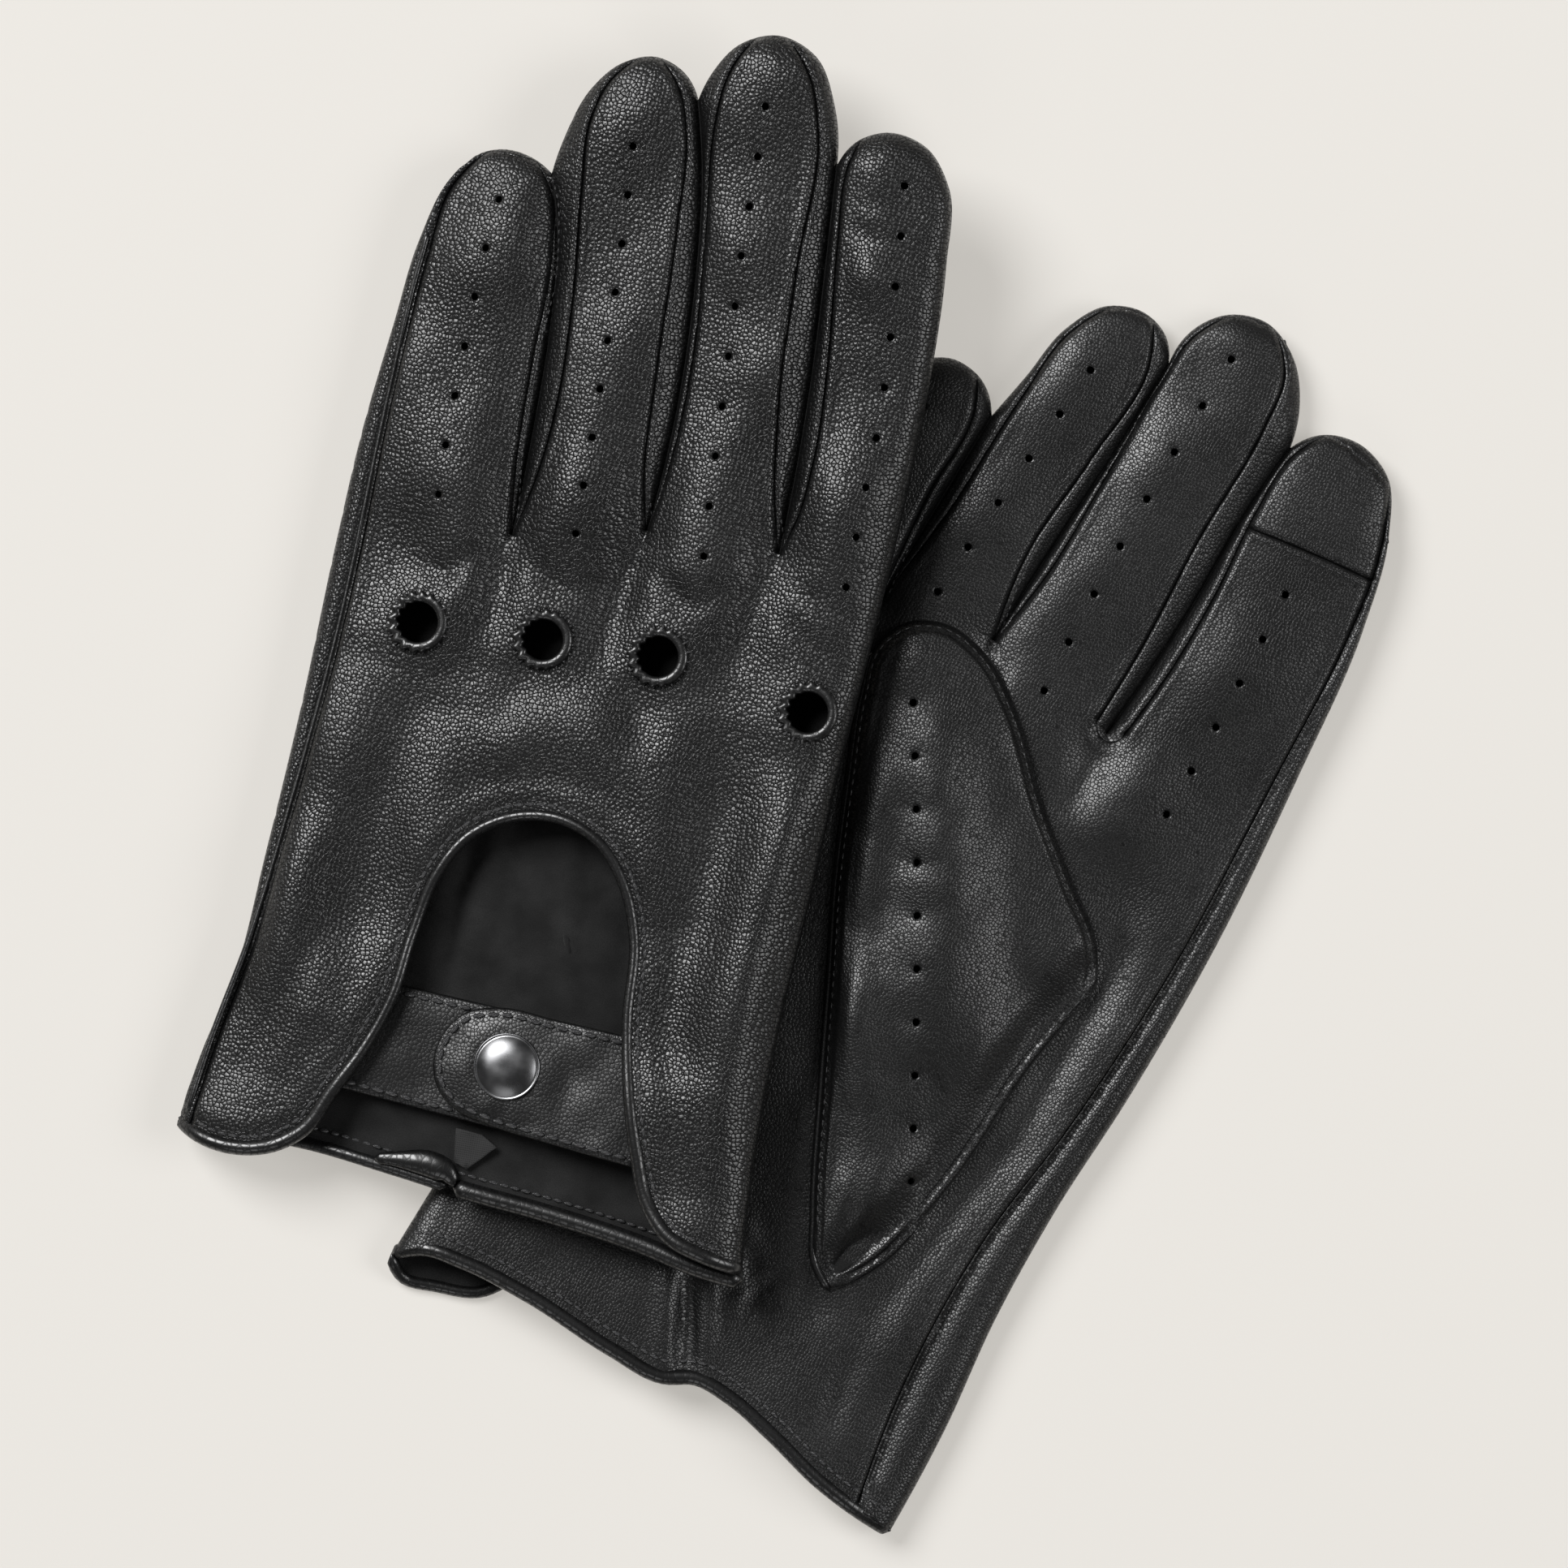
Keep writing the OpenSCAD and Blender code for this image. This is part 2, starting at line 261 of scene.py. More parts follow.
def on_left(v):
    """From the left glove's frame to the shared frame; its little-finger side sags to the table."""
    v = np.asarray(v, float)
    w = v @ LEFT_TURN.T + LEFT_ORIGIN
    w[:, 2] -= SIDE_SAG * ramp(-v[:, 0], 18, 56)
    return w * MM


def on_right(v):
    """From the right glove's frame, with h measured up from the table, to the shared frame."""
    v = np.asarray(v, float)
    w = v @ RIGHT_TURNED.T + RIGHT_ORIGIN
    w[:, 2] += TABLE
    return w * MM


PLACE = {"left": on_left, "right": on_right}


# ---- meshes ----


def mesh_object(name, points, faces, uv=None, materials=()):
    mesh = bpy.data.meshes.new(name)
    mesh.from_pydata([tuple(p) for p in points], [], [tuple(int(i) for i in f) for f in faces])
    mesh.validate()
    layer = mesh.uv_layers.new(name="UVMap")
    if uv is not None:
        corner = np.zeros(len(mesh.loops), np.int32)
        mesh.loops.foreach_get("vertex_index", corner)
        layer.data.foreach_set("uv", np.asarray(uv, np.float32)[corner].ravel())
    mesh.shade_smooth()
    for material in materials:
        mesh.materials.append(material)
    made = bpy.data.objects.new(name, mesh)
    bpy.context.scene.collection.objects.link(made)
    return made


def rows_beside(line, offsets):
    """Places on both sides of a line at each offset, which is the third number of a place."""
    return np.vstack([np.column_stack([beside(line, sign * o), np.full(len(line), o)])
                      for o in offsets for sign in (1, -1)])


def thinned(p, cell):
    """Without the points that share a cell with an earlier one."""
    keys = np.floor(p[:, :2] / cell).astype(int)
    _, first = np.unique(keys, axis=0, return_index=True)
    return p[np.sort(first)]


def flat_mesh(outline, seams=(), holes=(), spacing=SPACING, offsets=ROWS):
    """A flat triangle mesh of an outline, with its seams as edges and its holes cut out."""
    fixed = [closed(outline)] + list(seams) + [closed(h) for h in holes]
    beside = [rows_beside(line, offsets) for line in fixed[: 1 + len(seams)]]
    beside += [rows_beside(closed(h), offsets[1:4:2]) for h in holes]
    beside = np.vstack(beside)
    beside = beside[gap_to(beside[:, :2], fixed) > 0.86 * beside[:, 2]]
    beside = thinned(beside[np.argsort(beside[:, 2], kind="stable")], 0.42)
    low, high = outline.min(0), outline.max(0)
    across = np.arange(low[0], high[0], spacing)
    up = np.arange(low[1], high[1], spacing * ROW_RISE)
    grid = np.array([(x + spacing / 2 * (j % 2), y) for j, y in enumerate(up) for x in across])
    grid = grid[inside(grid, outline)]
    grid = grid[gap_to(grid, fixed) > offsets[-1] + spacing * 0.5]
    free = np.vstack([beside[:, :2], grid])
    keep = inside(free, outline)
    for hole in holes:
        keep &= ~inside(free, hole)
    points, edges = [], []
    for line, loop in [(outline, True)] + [(s, False) for s in seams] + [(h, True) for h in holes]:
        start = len(points)
        points.extend(Vector(q) for q in line)
        edges.extend((start + i, start + i + 1) for i in range(len(line) - 1))
        if loop:
            edges.append((start + len(line) - 1, start))
    points.extend(Vector(q) for q in free[keep])
    got, _, faces, *_ = delaunay_2d_cdt(points, edges, [], 0, 1e-4)
    flat = np.array([tuple(v) for v in got])
    faces = np.array(faces)
    middle = flat[faces].mean(1)
    keep = inside(middle, outline)
    for hole in holes:
        keep &= ~inside(middle, hole)
    return flat, faces[keep]


def upward(flat, faces, up=True):
    """The faces turned to look up, or down."""
    a, b, c = (flat[faces[:, i]] for i in range(3))
    area = (b[:, 0] - a[:, 0]) * (c[:, 1] - a[:, 1]) - (b[:, 1] - a[:, 1]) * (c[:, 0] - a[:, 0])
    wrong = (area < 0) == up
    faces = faces.copy()
    faces[wrong] = faces[wrong][:, ::-1]
    return faces


def cut_piece(name, side, flat, faces, height, materials, thickness=LEATHER):
    """One leather piece from some faces of a sheet, with its thickness on the hidden side."""
    used, index = np.unique(faces, return_inverse=True)
    body = np.column_stack([flat[used], height[used]])
    made = mesh_object(f"{side}_{name}", PLACE[side](body), index.reshape(-1, 3), flat[used], materials)
    thick = made.modifiers.new("thickness", "SOLIDIFY")
    thick.thickness = thickness * MM
    thick.offset = -1
    thick.material_offset = 1
    thick.material_offset_rim = 1
    return made


def ring_faces(rows, around, start=0):
    """The faces between rings of points that follow each other."""
    faces = []
    for row in range(start, start + (rows - 1) * around, around):
        for j in range(around):
            k = (j + 1) % around
            faces.append((row + j, row + k, row + around + k, row + around + j))
    return faces


def tube(name, side, path, radius, material, flatten=1.0, around=10):
    """A round or flattened cord of leather along a path, closed at its ends."""
    path = np.asarray(path, float)
    way = unit(np.gradient(path, axis=0))
    out = unit(np.cross(way, (0, 0, 1)))
    up = np.cross(out, way)
    run = travel(path)
    taper = np.sqrt(np.clip(np.minimum(run, run[-1] - run) / 1.2, 0.02, 1))
    radius = np.broadcast_to(radius, len(path)) * taper
    turn = np.linspace(0, 2 * math.pi, around, endpoint=False)
    ring = out[:, None] * np.cos(turn)[None, :, None] + up[:, None] * np.sin(turn)[None, :, None] * flatten
    points = (path[:, None] + ring * radius[:, None, None]).reshape(-1, 3)
    faces = [quad[::-1] for quad in ring_faces(len(path), around)]
    faces.append(tuple(range(around)))
    faces.append(tuple(reversed(range((len(path) - 1) * around, len(path) * around))))
    uv = np.column_stack([np.repeat(run, around), np.tile(turn, len(path))])
    return mesh_object(f"{side}_{name}", PLACE[side](points), faces, uv, [material])


def thread(name, side, paths, pitch=2.1, length=0.78, radius=0.42):
    """Sewing stitches along paths, one small capsule each."""
    rings, sides = np.array([-1, -0.72, 0, 0.72, 1]), 6
    wide = np.sqrt(1 - rings**2 * 0.98)
    turn = np.linspace(0, 2 * math.pi, sides, endpoint=False)
    points, faces = [], []
    for path in paths:
        at = np.arange(pitch / 2, travel(path)[-1], pitch)
        mid = places(path, at)
        for m, w in zip(mid, unit(places(path, at + 0.3) - mid)):
            out = unit(np.cross(w, (0, 0, 1)))
            up = np.cross(out, w)
            faces += ring_faces(len(rings), sides, len(points))
            for r, s in zip(rings, wide):
                centre = m + w * r * length * pitch / 2
                points += [centre + radius * s * (out * math.cos(a) + up * math.sin(a)) for a in turn]
    points = np.array(points)
    return mesh_object(f"{side}_{name}", PLACE[side](points), faces, points[:, :2], [THREAD])


# ---- materials ----


def nodes_of(name, coordinates="UV"):
    """A new material with its node tree and its coordinates: UV in mm, or Object in metres."""
    material = bpy.data.materials.new(name)
    material.use_nodes = True
    tree = material.node_tree
    return material, tree, tree.nodes.new("ShaderNodeTexCoord").outputs[coordinates]


def add(tree, kind, links=None, **values):
    """A node with its settings, its socket values and its incoming links."""
    node = tree.nodes.new("ShaderNode" + kind)
    for key, value in values.items():
        if hasattr(node, key):
            setattr(node, key, value)
        else:
            node.inputs[key.replace("_", " ")].default_value = value
    for key, socket in (links or {}).items():
        tree.links.new(socket, node.inputs[key])
    return node


def scaled_range(tree, value, low, high, to_low, to_high):
    node = add(tree, "MapRange", {0: value})
    for i, v in enumerate((low, high, to_low, to_high)):
        node.inputs[i + 1].default_value = v
    return node.outputs[0]


def fill(tree, socket, value):
    """Sets a socket to a number or a colour, or links a node's output to it."""
    if isinstance(value, bpy.types.NodeSocket):
        tree.links.new(value, socket)
    else:
        socket.default_value = value


def maths(tree, kind, a, b):
    node = tree.nodes.new("ShaderNodeMath")
    node.operation = kind
    for socket, value in zip(node.inputs, (a, b)):
        fill(tree, socket, value)
    return node.outputs[0]


def noise(tree, where, scale, detail, output="Fac", **values):
    node = add(tree, "TexNoise", {"Vector": where}, Scale=scale, Detail=detail, **values)
    return node.outputs[output]


def two_tone(tree, value, low, high, start=0.0, end=1.0):
    """A colour that goes from low to high as the value goes from start to end."""
    node = add(tree, "ValToRGB", {"Fac": value})
    for element, position, colour in zip(node.color_ramp.elements, (start, end), (low, high)):
        element.position = position
        element.color = (*colour, 1)
    return node.outputs["Color"]


def patchy(tree, colour, value, low, high):
    """The colour, darker and lighter in patches."""
    value = scaled_range(tree, value, 0.3, 0.7, low, high)
    return add(tree, "HueSaturation", {"Color": colour, "Value": value}).outputs["Color"]


def bump(tree, height, depth, strength):
    """The normals of a surface that height raises by up to depth mm."""
    node = add(tree, "Bump", {"Height": height}, Distance=depth * MM, Strength=strength)
    return node.outputs["Normal"]


def surface(tree, **sockets):
    """Fills the sockets of the material's shader."""
    shader = tree.nodes["Principled BSDF"]
    for name, value in sockets.items():
        fill(tree, shader.inputs[name.replace("_", " ")], value)


def leather(name, grain, tone, rough, depth, coat=0.0):
    """Black grained leather: warped pebbles grain mm wide, with painted shade in the cracks between them, and
    worn patches.
    """
    material, tree, where = nodes_of(name)
    warp = noise(tree, where, 0.35, 3, "Color")
    bent = add(tree, "VectorMath", {0: warp}, operation="SCALE", Scale=0.7)
    place = add(tree, "VectorMath", {0: where, 1: bent.outputs[0]}, operation="ADD").outputs[0]
    cells, cracks = (
        add(tree, "TexVoronoi", {"Vector": place}, feature=kind, Scale=1 / grain, Randomness=0.85)
        for kind in ("F1", "DISTANCE_TO_EDGE"))
    broad = noise(tree, where, 0.045, 4)
    dome = maths(tree, "MULTIPLY", cells.outputs["Distance"], -0.8)
    pebble = scaled_range(tree, cracks.outputs["Distance"], 0.0, 0.14, 0.0, 1.0)
    dust = maths(tree, "MULTIPLY", noise(tree, where, 3.2, 3), 0.3)
    height = maths(tree, "ADD", maths(tree, "ADD", dome, maths(tree, "MULTIPLY", pebble, 0.35)), dust)
    # painted shade: the colour falls to a fifth of the tone in the cracks between the pebbles
    colour = two_tone(tree, pebble, [tone * c * 0.2 for c in (1, 1, 1.02)], [tone * c for c in (1, 1, 1.03)])
    gloss = scaled_range(tree, broad, 0.3, 0.7, rough - 0.04, rough + 0.04)
    surface(tree, Base_Color=patchy(tree, colour, broad, 0.8, 1.25),
            Roughness=maths(tree, "ADD", gloss, scaled_range(tree, pebble, 0, 1, 0.25, 0.0)),
            # painted shade: the specular level is lower in the cracks too
            Specular_IOR_Level=scaled_range(tree, pebble, 0, 1, 0.15, 0.5),
            Normal=bump(tree, height, depth, 1.0), Coat_Weight=coat, Coat_Roughness=0.32)
    return material


def suede(name, tone):
    """The rough inner face of the leather: short nap with brushed patches."""
    material, tree, where = nodes_of(name)
    nap = noise(tree, where, 4.5, 5, Roughness=0.7)
    colour = two_tone(tree, nap, [tone * 0.4] * 3, [tone * 1.6] * 3, 0.3, 0.75)
    surface(tree, Base_Color=patchy(tree, colour, noise(tree, where, 0.12, 4), 0.6, 1.5),
            Normal=bump(tree, nap, 0.25, 0.8), Roughness=0.95, Specular_IOR_Level=0.15, Sheen_Weight=0.06)
    return material


def sewing_thread(name):
    """Black waxed thread with the slant of its twist, painted lighter on its crests as painted highlight and
    darker in its grooves as painted shade.
    """
    material, tree, where = nodes_of(name, "Object")
    twist = add(tree, "TexWave", {"Vector": where}, bands_direction="DIAGONAL", Scale=2600,
                Distortion=1.5).outputs["Fac"]
    # painted highlight and shade: near black in the twist's grooves, lighter on its crests, following the
    # bump
    surface(tree, Base_Color=two_tone(tree, twist, (0.006, 0.006, 0.006), (0.05, 0.05, 0.052)),
            Normal=bump(tree, twist, 0.06, 0.8), Roughness=0.3)
    return material


def nickel(name, tone, rough):
    """Dark spun nickel with fine marks and faint stains."""
    material, tree, where = nodes_of(name, "Object")
    stains = noise(tree, where, 260, 4)
    dull, bright = ([tone * c for c in shades] for shades in ((0.8, 0.81, 0.84), (1.2, 1.2, 1.22)))
    surface(tree, Base_Color=two_tone(tree, stains, dull, bright), Metallic=1.0,
            Normal=bump(tree, noise(tree, where, 2500, 3), 0.003, 0.2),
            Roughness=scaled_range(tree, stains, 0.3, 0.7, rough - 0.05, rough + 0.07))
    return material


def woven(name, tone, pitch):
    """A plain weave of warp and weft threads pitch mm apart, with painted shade in the gaps between them."""
    material, tree, where = nodes_of(name)
    warp, weft = (
        add(tree, "TexWave", {"Vector": where}, bands_direction=way, Scale=0.314 / pitch)
        for way in "XY")
    cross = maths(tree, "MAXIMUM", warp.outputs["Fac"], weft.outputs["Fac"])
    # painted shade: the colour falls to 0.3 of the tone in the gaps where both threads dip
    surface(tree, Base_Color=two_tone(tree, cross, [tone * 0.3] * 3, [tone] * 3),
            Normal=bump(tree, cross, 0.1, 0.7), Roughness=0.85)
    return material


BACK = leather("leather_back", grain=0.76, tone=0.0035, rough=0.31, depth=0.14)
PALM = leather("leather_palm", grain=0.62, tone=0.0035, rough=0.34, depth=0.07)
# the binding's tone is set lighter than the other leathers' as painted highlight on its raised cords and rims
PIPING = leather("leather_binding", grain=1.3, tone=0.005, rough=0.27, depth=0.03, coat=0.2)
STRAP = leather("leather_strap", grain=0.7, tone=0.0035, rough=0.34, depth=0.05)
SUEDE = suede("suede_inside", 0.012)
THREAD = sewing_thread("thread_black")
NICKEL = nickel("snap_nickel", tone=0.14, rough=0.28)
ELASTIC = woven("elastic_black", 0.03, 0.7)
TAG = woven("tag_black", 0.014, 0.4)


# ---- the left glove's lines: back of the hand on top ----

LEFT_OUTER = smooth([(-59.3, -0.6), (-57.3, 12), (-53.6, 28), (-52, 50), (-50.2, 80), (-49.2, 110),
                     (-48, 132), (-45.6, 153), (-43.6, 169), (-39.6, 181.5), (-35, 187), (-30.6, 188.4),
                     (-25.4, 187.7), (-21.2, 185.4)])
LEFT_RING_TIP = smooth([(-21.2, 185.4), (-20, 192.5), (-16.4, 202.7), (-12, 207.8), (-5.5, 210.2),
                        (0.3, 208.1), (3.7, 203.6)])
LEFT_MIDDLE_TIP = smooth([(3.7, 203.6), (5.6, 209.5), (9.4, 215), (16.5, 218), (24.2, 215.3),
                          (29.2, 207), (31.7, 195.9)])
LEFT_INNER = smooth([(31.7, 195.9), (34.4, 200.8), (40, 203.6), (47.8, 202), (53.2, 195.4), (55.3, 181),
                     (56.1, 160), (55.7, 139.5), (54.2, 112), (52.2, 85), (51, 60), (49.5, 35), (49.3, 10),
                     (50.6, -9.8)])
LEFT_MEETS = [
    smooth([(-21.2, 185.4), (-17.9, 174), (-16.3, 158), (-16, 136), (-16.4, 117.6)]),
    smooth([(3.7, 203.6), (6.7, 191.5), (9.3, 170), (10.1, 147), (8.6, 122.7)]),
    smooth([(31.7, 195.9), (32.9, 178), (34.1, 155), (34.3, 139), (33.9, 122.8)]),
]
LEFT_SIDES = join(LEFT_OUTER, LEFT_RING_TIP, LEFT_MIDDLE_TIP, LEFT_INNER)
LEFT_EDGES = [LEFT_SIDES] + LEFT_MEETS
LEFT_SEAMS = [
    smooth([(-56.4, -1.6), (-54.4, 14), (-50.4, 35), (-47.2, 62), (-44.6, 90), (-42.6, 140), (-41, 166),
            (-38.8, 180), (-33.2, 187.7)]),
    smooth([(-24.2, 187), (-20.2, 181.6), (-18.2, 172), (-18.1, 150), (-17.7, 130), (-16.4, 117.6)]),
    smooth([(-8, 209.6), (-12.6, 204.6), (-15, 196.5), (-14.4, 184), (-12.5, 164), (-11.8, 144),
            (-13.3, 129), (-16.4, 117.6)]),
    smooth([(-4.6, 210), (0.6, 204.4), (3, 197.4), (4.6, 180), (5.7, 150), (6.6, 133), (8.6, 122.7)]),
    smooth([(13, 217.2), (9.3, 209.6), (8.3, 200), (10.2, 177), (11.8, 155), (11, 136), (8.6, 122.7)]),
    smooth([(18.4, 217.8), (24.4, 211), (27.5, 202), (28.3, 176), (29.5, 150), (31.4, 134), (33.9, 122.8)]),
    smooth([(36, 202.4), (34.2, 195), (34.9, 182), (37.3, 157), (37.8, 141), (36.4, 129), (33.9, 122.8)]),
]
LEFT_ARCH = smooth([(-59.3, -0.6), (-54.6, -3), (-47.7, -4.1), (-40.2, -2.4), (-34.6, 2), (-31.2, 9),
                    (-26.6, 18), (-22.8, 29), (-21.2, 41), (-18.6, 52.6), (-13.8, 60.8), (-6, 65.8),
                    (3.2, 66.8), (11, 63.6), (16.7, 56.6), (20.3, 47), (21.8, 31.5), (24.4, 19.4), (28, 7.8),
                    (31.6, -1), (36.8, -6.4), (43.2, -8.6), (50.6, -9.8)])
LEFT_HEM = smooth([(-59.3, -0.6), (-50, -1), (-35, -1.1), (-18, -3), (-4, -4.8), (12, -6.3), (31, -9),
                   (42, -11.4), (50.6, -12.2)])
LEFT_HOLES = [(-30.2, 98.4), (-6.4, 99.2), (15.6, 99.8), (45.2, 94.4)]
LEFT_DOTS = [
    ([(-29.4, 178.8), (-30.9, 150.6), (-30.7, 122.5)], 7),
    ([(-6.1, 192.8), (-4.3, 156), (-3.7, 119.7)], 9),
    ([(17.2, 204.3), (18, 168), (20.9, 119.7)], 10),
    ([(45.6, 194.2), (48.3, 160), (48.2, 118.6)], 9),
]

# ---- the right glove's lines: palm on top ----

RIGHT_OUTER = smooth([(-54.7, -12.7), (-53.6, 5), (-52, 30), (-53, 60), (-55, 90), (-55.6, 115),
                      (-54.6, 145), (-51.6, 168), (-47.4, 180), (-40.3, 184.6), (-34, 183.6), (-29.2, 178.6)])
RIGHT_RING_TIP = smooth([(-29.2, 178.6), (-27, 188), (-24.6, 199.5), (-19.8, 206.8), (-13, 209),
                         (-7.4, 207), (-4.5, 202.8)])
RIGHT_MIDDLE_TIP = smooth([(-4.5, 202.8), (-3.6, 210.2), (1, 216), (8, 218.1), (15.6, 214.6),
                           (20.6, 207.8), (23, 199.5)])
RIGHT_INNER = smooth([(23, 199.5), (27.4, 204.6), (34, 206.2), (41.4, 203.4), (47, 193.6), (51, 176),
                      (53.2, 146), (54.5, 110), (53.4, 78), (51.2, 52), (50.8, 30), (52.2, 6), (52, -14.6)])
RIGHT_MEETS = [
    smooth([(-29.2, 178.6), (-30.2, 160), (-31.4, 139)]),
    smooth([(-4.5, 202.8), (-5.4, 186), (-7.5, 163), (-9.1, 141.6)]),
    smooth([(23, 199.5), (21.3, 184), (20.6, 164), (17.7, 136.5)]),
]
RIGHT_SIDES = join(RIGHT_OUTER, RIGHT_RING_TIP, RIGHT_MIDDLE_TIP, RIGHT_INNER)
RIGHT_EDGES = [RIGHT_SIDES] + RIGHT_MEETS
RIGHT_SEAMS = [
    smooth([(-35.4, 184.2), (-32.6, 178), (-32.8, 160), (-31.4, 139)]),
    smooth([(-18.6, 207.6), (-23.6, 199), (-25.8, 184), (-28, 158), (-31.4, 139)]),
    smooth([(-11, 208.8), (-7.7, 201), (-9, 180), (-11.2, 158), (-9.1, 141.6)]),
    smooth([(2, 216.6), (-2.6, 209.6), (-4.2, 199), (-4.9, 178), (-6.3, 155), (-9.1, 141.6)]),
    smooth([(9.6, 217.9), (15.6, 211), (16.9, 200), (15.9, 177), (15.9, 152), (15.0, 137.6)]),
    smooth([(28.2, 205.2), (24, 198), (23, 186), (23.5, 168), (22.6, 150), (20.8, 137.6)]),
    smooth([(42.6, 202.2), (47, 190), (49.2, 172), (49.5, 145), (49, 98), (46, 67), (42, 42), (41.2, 15),
            (44.4, -13.8)]),
]
RIGHT_WEB = smooth([(15.0, 137.6), (16, 135.6), (18, 134.8), (20, 135.6), (20.8, 137.6)])
RIGHT_HEM = smooth([(-54.7, -12.7), (-50, -9), (-42, -7.6), (-28, -7.4), (-10, -9), (1, -9), (6.4, -6.4),
                    (14, -6.6), (24, -9), (36, -12.6), (52, -14.6)])
RIGHT_ARCH = smooth([(-54.7, -12.7), (-51.6, -15.4), (-44, -14), (-37, -11.4), (-31.4, -3), (-27, 14),
                     (-23, 31), (-21.6, 47), (-15, 62), (-4, 68), (8, 67.4), (17.2, 58.6), (21.6, 46),
                     (22.6, 31), (28, 8), (34, -5), (42, -12), (52, -14.6)])
RIGHT_HOLES = [(-39.5, 98.4), (-19.5, 99.2), (1.7, 99.8), (44.3, 94.4)]
RIGHT_DOTS = [
    ([(-41.5, 174), (-42.6, 156), (-43.4, 138)], 5),
    ([(-16.9, 194.7), (-19.6, 172), (-22.7, 144.7)], 6),
    ([(5.4, 208.8), (3.6, 174), (3.6, 137.7)], 8),
    ([(35, 174.7), (35.2, 150), (34.7, 128)], 6),
]
PATCH_SEAM = smooth([(22.9, 182.5), (33, 183.6), (48.2, 184.6)])
THUMB = smooth([(20.6, 19.6), (15.6, 23), (11.4, 30.5), (1.4, 52.4), (-7.2, 71.9), (-14, 87), (-21.4, 106.5),
                (-26.6, 121.5), (-28.3, 130), (-24.6, 137.4), (-17.8, 140.3), (-9.6, 138.8), (0.1, 132.6),
                (13.3, 119), (25.4, 108.2), (34.4, 100.6), (38, 93.4), (36.4, 84), (34.2, 73), (33, 58),
                (30.8, 43.5), (27.2, 28), (20.6, 19.6)])[:-1]
THUMB_DOTS = ([(-17, 124.2), (2.5, 88.9), (24.8, 45)], 10)


def dots(lines):
    """The small punched holes along the middle of each finger."""
    out = []
    for line, count in lines:
        path = smooth(line, 0.5)
        centres = places(path, np.linspace(0, travel(path)[-1], count))
        out += [circle(centre, DOT_RADIUS, 8) for centre in centres]
    return out


def punched(p, holes, reach=1.5, deep=0.22):
    """The leather dips a little round each punched hole."""
    total = np.zeros(len(p))
    for hole in holes:
        total -= deep * hump(np.hypot(*(p - hole.mean(0)).T), reach)
    return total


def pillow(gap, height):
    """Half the glove's thickness, from its mid level at the edge to its crowned face."""
    return height / 2 * (0.74 * rounded(gap, 5.2, 2.5) + 0.46 * (1 - (1 - np.clip(gap / 12.5, 0, 1)) ** 2))


def seam_dip(gap):
    """Across a sewn seam: a narrow groove between two soft lips."""
    return -0.55 * hump(gap, 0.26) + 0.3 * hump(gap - 1.0, 0.6)


LEFT_FOLDS = [
    # valleys that run down from the webs and between the knuckle holes
    (-16.4, 122, -18, 96, 4.0, -2.2), (8.6, 127, 4, 96, 3.8, -2.1), (33.9, 127, 29, 98, 4.4, -2.0),
    (-20, 114, -31, 106, 2.2, -0.8), (-12, 114, -3, 107, 2.2, -0.8), (12, 116, 21, 108, 2.2, -0.8),
    (29, 116, 20, 110, 2.2, -0.7), (38, 117, 52, 112, 1.8, -0.7), (36, 112, 48, 104, 2.0, -0.6),
    (-22, 108, -36, 110, 1.8, -0.5), (4, 112, -4, 109, 1.6, -0.5),
    # soft bulges at the finger bases
    (-30, 146, -28, 112, 8, 1.4), (-4, 150, -4, 112, 7, 1.5), (20, 150, 20, 112, 7.5, 1.4),
    (44, 148, 42, 112, 8, 1.2),
    # long folds of the hand and the lobes
    (-40, 92, -46, 8, 11, 2.8), (-27, 88, -36, 22, 8, -1.8), (-22, 84, -24, 50, 6, 0.9),
    (33, 92, 30, 20, 9, -2.0), (44, 86, 43, 0, 10, 2.4), (21, 80, 26, 50, 6, 1.0),
    (-14, 92, -8, 72, 7, 1.0), (2, 92, 4, 73, 8, 0.8), (-6, 96, -14, 80, 4, -0.8), (11, 96, 16, 80, 4, -0.8),
    (36, 186, 54, 178, 1.4, -0.8), (37, 190, 52, 190, 1.0, -0.4), (38, 179, 47, 173, 4, 1.1),
    (-38, 42, -48, 8, 3, -0.9), (-50, 46, -54, 12, 2.6, 0.6),
]
RIGHT_FOLDS = [
    (17.7, 140, 18, 118, 3.6, -1.6), (-9, 144, -4, 126, 3.0, -1.2), (-31, 142, -30, 126, 3.0, -1.0),
    (40, 106, 38, 52, 3.4, -1.4), (38, 62, 30, 20, 3.0, -1.0),
    (23, 130, 36, 112, 6, 0.4), (26, 120, 40, 106, 3.4, -0.7), (28, 140, 32, 126, 6, 0.6),
    # the gathers at the notch of the cuff and the small wrinkles above it
    (5.2, -9, -5.2, 13, 1.6, -2.2), (8.8, -8, -1.2, 14, 1.8, 1.1), (1.2, -9, -8.8, 12, 2.2, 1.1),
    (2, 22, 8, 14, 1.1, -0.9), (8, 14, 13, 18, 1.0, -0.8), (8, 14, 10, 7, 1.0, -0.7), (5, 7, 8, 13, 1.0, 0.7),
    (0, 26, 5, 18, 1.2, 0.8), (14, 22, 22, 12, 3, -0.6),
    (-20, 10, -26, 60, 4, -0.8), (30, 12, 33, -6, 2.2, -0.6), (36, 30, 37, -6, 4, 0.8),
    (3, 200, 4, 150, 5, 0.4), (-18, 195, -22, 150, 5, 0.4), (34, 175, 36, 135, 7, 0.5),
    # the dark hollow beside the thumb
    (36, 112, 42, 84, 4, -0.6),
]


LEFT_WRAP = join(LEFT_OUTER, LEFT_SEAMS[0][::-1])
RIGHT_WRAP = join(RIGHT_INNER[RIGHT_INNER[:, 0] > 42], RIGHT_SEAMS[-1][::-1])


